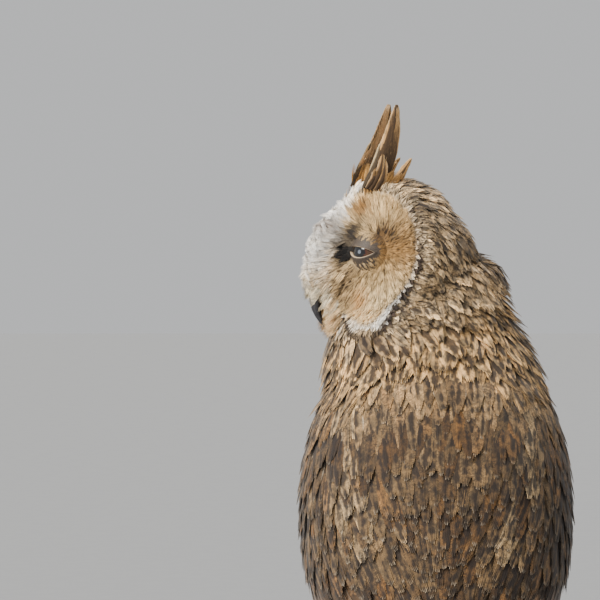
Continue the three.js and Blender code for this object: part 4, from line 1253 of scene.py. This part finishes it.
def vanes(middles, outs, half, camber, ragged, tilt=0.0):
    """Feathers with a closed vane. Columns run across from the first edge to the second one."""
    count, stations, _ = middles.shape
    along = unit(np.gradient(middles, axis=1))
    across = unit(np.cross(along, outs))
    outs = unit(np.cross(across, along))
    wobble = chance.normal(0, ragged, (count, stations, 2))
    wobble[:, 0] = 0
    halves = half[..., None] * (1 + wobble)
    columns = VANE_COLUMNS[None, None, :]
    reach = np.where(columns < 0, halves[..., :1], halves[..., 1:]) * columns
    down = camber * columns**2 * halves.max(-1, keepdims=True)
    lean = -tilt * reach
    full = VANE_THICK / 2 * (1 - 0.9 * np.abs(columns) ** 3)
    shaft = 0.16 * (np.abs(columns) < 0.1)
    flat = middles[:, :, None] + across[:, :, None] * reach[..., None]
    upper = flat + outs[:, :, None] * (full + shaft - down + lean)[..., None]
    lower = flat + outs[:, :, None] * (-full - down + lean)[..., None]
    rings = np.concatenate([upper, lower[:, :, 5:0:-1]], 2)
    u = (VANE_COLUMNS + 1) / 2
    u = np.concatenate([u, u[5:0:-1]])
    return {
        "rings": rings,
        "across": np.broadcast_to(u, rings.shape[:3]).reshape(-1),
        "along": np.repeat(np.tile(LONG_STATIONS, count), len(u)),
        "under": np.tile(np.repeat([0, 0.08], [7, 5]), count * stations),
        "each": stations * len(u),
    }


def vane_width(share, tip=0.8, point=0.12):
    """The width of a feather along its length: full from a third on, and round or pointed at its tip."""
    width = 0.55 + 0.45 * np.sin(np.minimum(share / 0.42, 1) * np.pi / 2)
    closing = np.clip((share - tip) / (1 - tip), 0, 1)
    return width * (point + (1 - point) * np.sqrt(np.maximum(1 - closing**2, 0)))


tuft_plume = plume_finish("tuft_plume", 2.4, 0.8, 0.35, 0.2, 0.2, 0.5)
for side, side_name in ((1, "left"), (-1, "right")):
    flip = np.array([1, side, 1])
    root = TUFT_ROOT * flip
    rising = TUFT_TIP * flip - root
    outward = unit(np.array([0.25, side, -0.1]))
    rearward = np.cross(outward, rising)
    rearward = unit(rearward if rearward[0] < 0 else -rearward)
    order = np.linspace(0, 1, TUFT_FEATHERS)
    tall_long = 0.55 + 0.47 * ease(0, 0.7, order)
    tall_place = TUFT_START + TUFT_SPAN * order
    tall = np.stack([tall_long, tall_place, 3.2 - 5.6 * order, np.full(TUFT_FEATHERS, -0.58)], -1)
    long, place, layer, fanning = np.vstack([tall, TUFT_SHORT]).T
    count = len(long)
    share = LONG_STATIONS[None, :]
    fan = place[:, None] * (1 + fanning[:, None] * share**2) + 2.0 * np.sin(np.pi * share)
    bulge = layer[:, None] * (1 - 0.5 * share) + 2.4 * np.sin(np.pi * share)
    middles = root + rising * (share * long[:, None])[..., None]
    middles = middles + rearward * fan[..., None] + outward * bulge[..., None]
    outs = np.broadcast_to(outward, middles.shape)
    half = 1.9 * vane_width(share, 0.4, 0.05) * np.ones((count, 1))
    batch = vanes(off_head(middles), outs @ HEAD_AXES, half, 0.22, 0.07, 0.12)
    from_front = batch["across"] if side > 0 else 1 - batch["across"]
    batch["across"] = np.interp(from_front, [0, TUFT_DARK, 1], [0, 0.5, 1])
    foremost = ease(0.14, 0, (place - TUFT_START) / TUFT_SPAN)
    ground = laid_over(np.tile(tone(190, 148, 94), (count, 1)), foremost, tone(232, 204, 154))
    colours = shaded(count, ground, tone(40, 28, 22), [0.92, 0.0, 0.3, 0.5], 0.15)
    colours[2][TUFT_FEATHERS:, 0] = 0.6
    roots = np.tile(off_head(root), (count, 1)) + chance.normal(0, 2, (count, 3))
    dressed(batch, roots, colours, np.linalg.norm(rising) * long, np.full(count, 5.0), 8.0, round_head)

    # Short loose feathers that close the foot of the tuft.
    count = FOOT_FEATHERS
    up = unit(rising)
    over = chance.uniform(-1, 1, (count, 2))
    foot = root + rearward * (over[:, :1] * 5.0 + 2.2) + outward * (over[:, 1:] * 3.0) - up * 3.5
    way = up + rearward * over[:, :1] * 0.2 + outward * over[:, 1:] * 0.2
    way = unit(way + chance.normal(0, 0.07, (count, 3)))
    lengths = chance.uniform(8, 17, count)
    widths = np.full(count, FOOT_WIDTH)
    paths = bent_paths(foot, way, lengths, rearward * 1.5)
    outs = np.broadcast_to(outward, paths.shape) @ HEAD_AXES
    foot_batch = soft_feathers(off_head(paths), outs, widths, 4, fullness=0.1, taper=HAIR_TAPER)
    colours = shaded(count, tone(178, 134, 74), tone(62, 46, 36), [0.3, 0.0, 0.4, 0.3], 0.35)
    dressed(foot_batch, off_head(foot), colours, lengths, widths, 7.0, round_head)
    coat(f"tuft_feathers_{side_name}", [batch, foot_batch], tuft_plume, (f"ear_tuft_{side_name}",))

# Wings
# The wings are folded over the sides: barred flight feathers with stiff vanes, and over them soft coverts
# that lie as tiles do on a roof. Those of the shoulders run on across the back between the wings.
VANE_TAPER = [0.85, 1.0, 0.97, 0.75, 0.2]
QUILL_BROWN = tone(112, 86, 58)
COVERT_BROWN = tone(72, 54, 34)
GREY_BUFF = tone(124, 102, 72)
GOLD_BUFF = tone(142, 104, 60)
PALE_BUFF = tone(206, 178, 136)
DARK_BARS = tone(34, 26, 22)
# For each row: how many feathers, where they start and end across and down the wing from its front feather
# to its back one, how far places vary, half widths, how the root sits under the cloak and how far the tip
# rises, how a feather leans on its neighbour, the colours, the plan and the length of one bar and gap.
# The soft row is of loose fans like the body's feathers, and the others have closed vanes.
WING_ROWS = {
    "primary": dict(
        count=8, root_t=(0.36, 0.12), tip_t=(0.5, 0.34), root_z=(128, 128), tip_z=(58, 7), vary=0.8,
        half=(7.5, 7.5), lift=(-3.4, -7.9), rise=0.0, tilt=0.02, plane=0.36, tip=0.78, point=0.14, soft=False,
        ground=tone(150, 118, 84), plan=(0.03, 0.85, 0.35, 0.2), period=13,
    ),
    "secondary": dict(
        count=11, root_t=(0.12, 0.84), tip_t=(0.14, 0.9), root_z=(132, 140), tip_z=(78, 83), vary=1.4,
        half=(7.6, 7.4), lift=(-4.6, -4.6), rise=4.8, tilt=0.1, tip=0.84, point=0.3, soft=False,
        ground=QUILL_BROWN, plan=(0.05, 0.7, 0.85, 0.3), period=11,
    ),
    "greater_covert": dict(
        count=15, root_t=(0.06, 0.8), tip_t=(0.06, 0.83), root_z=(148, 156), tip_z=(104, 112), vary=4,
        half=(6.6, 7.4), lift=(-4.6, -4.6), rise=5.6, tilt=0, soft=True,
        ground=COVERT_BROWN, plan=(0.26, 0.4, 0.95, 0.3), period=12,
    ),
    "primary_covert": dict(
        count=5, root_t=(0.0, 0.2), tip_t=(0.05, 0.26), root_z=(140, 134), tip_z=(104, 96), vary=1,
        half=(4.8, 5.4), lift=(-5.0, -5.0), rise=5.6, tilt=0.1, tip=0.75, point=0.25, soft=False,
        ground=tone(116, 90, 66), plan=(0.05, 0.7, 0.6, 0.3), period=9,
    ),
    "alula": dict(
        count=3, root_t=(0.0, 0.03), tip_t=(0.02, 0.07), root_z=(168, 156), tip_z=(136, 114), vary=0,
        half=(3.8, 4.2), lift=(-4.4, -4.4), rise=5.4, tilt=0.06, tip=0.75, point=0.2, soft=False,
        ground=tone(190, 164, 128), plan=(0.05, 0.75, 0.3, 0.5), period=9,
    ),
}


def wing_row(side, row):
    """One row of a wing's feathers, from its front end to its back end."""
    soft, count = row["soft"], row["count"]
    order = np.linspace(0, 1, count)[:, None]
    share = np.linspace(0, 1, 5)[None, :] if soft else LONG_STATIONS[None, :]

    def pair(key):
        low, high = row[key]
        return low + (high - low) * order

    root_z = pair("root_z") + chance.normal(0, row["vary"], order.shape)
    tip_z = pair("tip_z") + chance.normal(0, row["vary"], order.shape)
    z = root_z + (tip_z - root_z) * share
    t = pair("root_t") + (pair("tip_t") - pair("root_t")) * share
    t = t + chance.normal(0, 0.024 if soft else 0.006, order.shape) * share
    lift = pair("lift") + row["rise"] * share**0.6 + chance.normal(0, 0.35, order.shape) * share * soft
    if "plane" in row:
        at, out, back, per_share = cloak_frame(side, z, np.full(z.shape, row["plane"]))
        at = at + back * ((t - row["plane"]) * per_share)[..., None]
    else:
        at, out, _, _ = cloak_frame(side, z, t)
    middles = at + out * lift[..., None]
    widths = pair("half")[:, 0] * 2
    if soft:
        batch = soft_feathers(middles, out, widths, 11, fullness=1.0, rounded=1.25)
    else:
        half = pair("half") * vane_width(share, row["tip"], row["point"])
        batch = vanes(middles, out, half, 0.06, 0.04, row["tilt"] * side)
    uneven = 0.38 if soft else 0.12
    shade = chance.normal(0, uneven, (count, 1)) + uneven * drift(middles[:, -1])[:, None]
    ground = np.tile(row["ground"], (count, 1)) * np.exp(shade)
    plan = np.clip(np.tile(row["plan"], (count, 1)) * chance.uniform(0.8, 1.2, (count, 4)), 0, 1)
    colours = (ground, np.tile(DARK_BARS, (count, 1)), plan)
    return dressed(batch, middles[:, 0], colours, long_of(middles), widths, row["period"], round_body)


# The lesser coverts, scapulars and mantle feathers grow all over the upper wings and the back between them.
COVER = {
    "tries": 9000, "top": 222, "bottom": 133, "back_bottom": 112, "middle": 1.5, "spacing": 4.6,
    "under": -3.4, "strands": 11,
}


def across_back(height, place):
    """The share across the cloak for a place from 0 to 1 on the wing, and on to 1.5 in the back's middle."""
    section = cloak_section(height)
    beyond = (180 - 2 * section[..., 4]) / (section[..., 4] - section[..., 3])
    return np.minimum(place, 1) + np.maximum(place - 1, 0) * beyond


def cover_feathers(side):
    """Soft feathers over one wing and its half of the back, as two batches."""
    height = chance.uniform(COVER["back_bottom"], COVER["top"], COVER["tries"])
    place = chance.uniform(0, COVER["middle"], COVER["tries"])
    allowed = height > COVER["bottom"] - (COVER["bottom"] - COVER["back_bottom"]) * ease(0.75, 1.0, place)
    height, place = height[allowed], place[allowed]
    kept = thinned(on_cloak(side, height, across_back(height, place)), COVER["spacing"])
    height, place = height[kept], place[kept]
    count = len(kept)
    lower = ease(212, 178, height)
    rearmost = ease(0.45, 0.75, place)
    lengths = (14 + 9 * lower + 4 * rearmost) * (1 + 0.1 * chance.normal(0, 1, count))
    widths = (7.0 + 2.4 * lower + 1.4 * rearmost) * (1 + 0.08 * chance.normal(0, 1, count))
    share = np.linspace(0, 1, 5)[None, :]
    z = height[:, None] - lengths[:, None] * share
    lean = chance.normal(0, 0.03, (count, 1))
    t = across_back(z, np.clip(place[:, None] + lean * share, 0, COVER["middle"]))
    at, out, _, _ = cloak_frame(side, z, t)
    top = -2.2 + 4.3 * ease(216, 184, height) + 0.4 * chance.normal(0, 1, count)
    under = COVER["under"] - 3.6 * ease(200, 214, height)
    lift = under[:, None] + (top - under)[:, None] * share**0.7
    paths = at + out * lift[..., None]

    # Dark brown with greyer and more golden ones among them, paler at the top and in a strip down each wing.
    ground = np.tile(COVERT_BROWN, (count, 1))
    slow = 0.35 * drift(paths[:, -1])
    ground = laid_over(ground, ease(0.1, 0.9, chance.random(count) + slow) * 0.8, GREY_BUFF)
    ground = laid_over(ground, ease(0.6, 1.0, chance.random(count) - slow) * 0.7, GOLD_BUFF)
    cape = ease(196, 212, height + CAPE_WAVE * drift(at[:, 0]))
    ground = laid_over(ground, cape * chance.uniform(0.3, 1, count), tone(184, 152, 110))
    strip = near_turn(place * 100, 76, 10) * ease(146, 156, height) * ease(218, 210, height)
    ground = laid_over(ground, strip * ease(0.4, 0.7, chance.random(count)) * 0.75, PALE_BUFF)
    shoulder = ease(0.3, 0.15, place) * ease(182, 196, height)
    ground = laid_over(ground, shoulder * 0.7, tone(170, 126, 80))
    shade = 0.2 * chance.normal(0, 1, (count, 1)) + 0.25 * drift(paths[:, -1])[:, None]
    ground = ground * np.exp(shade)
    plan = np.clip(np.array([0.4, 0.3, 0.85, 0.6]) * chance.uniform(0.5, 1.4, (count, 4)), 0, 1)
    plan[:, 0] *= 1 - 0.5 * ease(186, 202, height)
    pieces = []
    for chosen in (place <= 1, place > 1):
        batch = soft_feathers(
            paths[chosen], out[chosen], widths[chosen], COVER["strands"],
            camber=0.16, fullness=0.9, rounded=1.8, taper=VANE_TAPER, ragged=0.5,
        )
        colours = (ground[chosen], np.tile(DARK_BARS, (chosen.sum(), 1)), plan[chosen])
        pieces.append(
            dressed(batch, paths[chosen, 0], colours, lengths[chosen], widths[chosen], 10.0, round_body)
        )
    return pieces


wing_plume = plume_finish("wing_plume", 2.2, 0.75, 0.3, 0.55, 0.12)
mantle_batches = []
for side, side_name in ((1, "left"), (-1, "right")):
    batches = [wing_row(side, row) for row in WING_ROWS.values()]
    on_wing, on_back = cover_feathers(side)
    mantle_batches.append(on_back)
    coat(f"wing_feathers_{side_name}", batches + [on_wing], wing_plume, (f"wing_{side_name}",))
coat("feathers_mantle", mantle_batches, wing_plume)

# Tail
# Twelve barred feathers with closed vanes, rooted side by side at the rear of the body. They are folded
# together like a fan with the middle pair on top, and shorter coverts lie over their roots.
TAIL = {"from": 104, "to": 4, "shorter": 5, "slope": 0.72, "y": 96, "z": 30, "sag": 0.004, "step": 0.95}
TAIL_OUT = unit(np.array([0, 1, TAIL["slope"]]))
COVERTS = {"count": 9, "to": 60, "shorter": 10}


def tail_tier(x, z, lift, half_width, tip, camber, ragged, ground, plan, bar):
    """One tier of the tail: closed vanes on its slope, which sags to the sides."""
    count = len(x)
    y = TAIL["y"] - (z - TAIL["z"]) * TAIL["slope"]
    middles = np.stack([x, y, z], -1) + TAIL_OUT * (lift - TAIL["sag"] * x * x)[..., None]
    half = half_width * vane_width(LONG_STATIONS[None, :], tip, 0.3) * np.ones((count, 1))
    batch = vanes(middles, np.broadcast_to(TAIL_OUT, middles.shape), half, camber, ragged)
    colours = tuple(np.tile(value, (count, 1)) for value in (ground, DARK_BARS, plan))
    widths = np.full(count, half_width * 2.0)
    return dressed(batch, middles[:, 2], colours, long_of(middles), widths, bar, round_body)


share = LONG_STATIONS[None, :]
pair_of = np.repeat(np.arange(6), 2)[:, None]
which = np.tile([1, -1], 6)[:, None]
spread = pair_of / 5
tail_z = TAIL["from"] + (TAIL["to"] + TAIL["shorter"] * spread**2 - TAIL["from"]) * share
root_x, tip_x = 3 + 6 * spread, 3 + 20 * spread
tail_x = which * (root_x + (tip_x - root_x) * share)
tail_lift = TAIL["step"] * (np.where((pair_of == 0) & (which > 0), 1, 0) - pair_of) + 0 * share
tail_batch = tail_tier(
    tail_x, tail_z, tail_lift, 9.5, 0.84, 0.05, 0.03, tone(150, 122, 92), [0.03, 0.85, 0.5, 0.3], 12.0
)
order = np.linspace(-1, 1, COVERTS["count"])[:, None]
covert_z = TAIL["from"] + (COVERTS["to"] + COVERTS["shorter"] * np.abs(order) - TAIL["from"]) * share
covert_lift = 1.5 + 2.4 * share - 1.6 * np.abs(order) + 0.3 * (order > 0)
covert_batch = tail_tier(
    order * (10 + 7 * share), covert_z, covert_lift, 7, 0.74, 0.08, 0.05, tone(146, 116, 84),
    [0.15, 0.4, 0.75, 0.4], 10.0,
)
coat("tail_feathers", [tail_batch, covert_batch], wing_plume, ("tail",))

# Claws
# Eight curved claws of black horn that taper to a point, one on each toe. Each grows over the last bone of
# its toe and stands out past the toe's feathers.
TOES = {"inner": (-10, 27), "middle": (20, 31), "outer": (118, 24), "rear": (196, 17)}
CLAW_HALF = 2.1
CLAW_LINE = [(-2.5, 0), (4.5, 1.4), (9.6, 0.8), (13.0, 0)]
CLAW_TIP_UP = 0.6
TOE_AXIS = 3.4
FOOT_Y = 3.0
for side, side_name in ((1, "left"), (-1, "right")):
    for toe_name, (heading, toe_long) in TOES.items():
        turn = math.radians(heading)
        way = np.array([side * math.sin(turn), -math.cos(turn), 0])
        sideways = np.array([-way[1], way[0], 0])
        start = np.array([side * LEG_X, FOOT_Y, TOE_AXIS]) + way * (7 + toe_long)
        line = np.array([start + way * ahead + [0, 0, up] for ahead, up in CLAW_LINE])
        line[-1, 2] = CLAW_TIP_UP

        def claw(share_round, share_along):
            at, along = smooth_line(line, share_along)
            turned = share_round * 2 * np.pi
            thick = CLAW_HALF * (1 - 0.93 * share_along**1.3)
            over = np.cross(sideways, along)
            over = np.where(over[:, 2:] < 0, -over, over)
            at = at + sideways * (thick * 0.85 * np.cos(turned))[:, None]
            return at + over * (thick * np.sin(turned))[:, None]

        form = closed(grid_form(21, 16, claw))
        piece = smooth_piece(f"horn_claw_{side_name}_{toe_name}", form, horn_finish)
        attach(piece, "root")
        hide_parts(f"claw_{side_name}_{toe_name}")

# Floor, light and camera
# A flat floor of plain pale paper, soft studio lights, and the camera at the photo's viewing angle.
# FIELD is the height and width of the picture at the owl, in metres.
FIELD = 0.300
AIM = Vector(in_scene([68.0, 0.0, 254.0]))
CAMERA_AWAY = 3.5
CAMERA_UP = math.radians(2.0)
SENSOR = 36.0

floor_form = bmesh.new()
bmesh.ops.create_grid(floor_form, x_segments=1, y_segments=1, size=6)
floor = placed("floor", bare_mesh("floor", floor_form))
floor_finish, tree, shader = fresh_finish("floor_paper", 0.9)
paper = grain(tree, wire(tree, "ShaderNodeTexCoord", {}).outputs["Object"], 60)
paper = dyed(tree, between(tree, paper, 0.3, 0.7), (0.277, 0.283, 0.290, 1), (0.287, 0.293, 0.300, 1))
tree.links.new(paper, shader.inputs["Base Color"])
floor.data.materials.append(floor_finish)


def lamp(name, at, softness, strength, warmth):
    light = bpy.data.lights.new(name, "SUN")
    light.angle = math.radians(softness)
    light.energy = strength
    light.color = warmth
    stand = bpy.data.objects.new(name, light)
    bpy.context.scene.collection.objects.link(stand)
    stand.location = at
    stand.rotation_euler = (Vector((0, 0, 0.22)) - Vector(at)).to_track_quat("-Z", "Y").to_euler()


lamp("key", (1.5, 1.2, 1.7), 24, 5.8, (1.0, 0.955, 0.885))
lamp("cool", (2.0, 0.48, 0.42), 24, 0.7, (0.8, 0.88, 1.0))
lamp("fill", (-1.8, 1.2, 0.9), 40, 0.35, (0.93, 0.96, 1.0))
lamp("front", (0.3, -2.0, 1.3), 30, 0.5, (1.0, 0.98, 0.95))
world = bpy.data.worlds.new("studio")
world.use_nodes = True
world.node_tree.nodes["Background"].inputs["Color"].default_value = (0.84, 0.85, 0.86, 1)
world.node_tree.nodes["Background"].inputs["Strength"].default_value = 0.72
bpy.context.scene.world = world

lens = bpy.data.cameras.new("camera")
lens.sensor_width = SENSOR
lens.lens = SENSOR * CAMERA_AWAY / FIELD
camera = bpy.data.objects.new("camera", lens)
bpy.context.scene.collection.objects.link(camera)
camera.location = AIM + Vector((0, math.cos(CAMERA_UP), math.sin(CAMERA_UP))) * CAMERA_AWAY
camera.rotation_euler = (AIM - camera.location).to_track_quat("-Z", "Y").to_euler()
bpy.context.scene.camera = camera
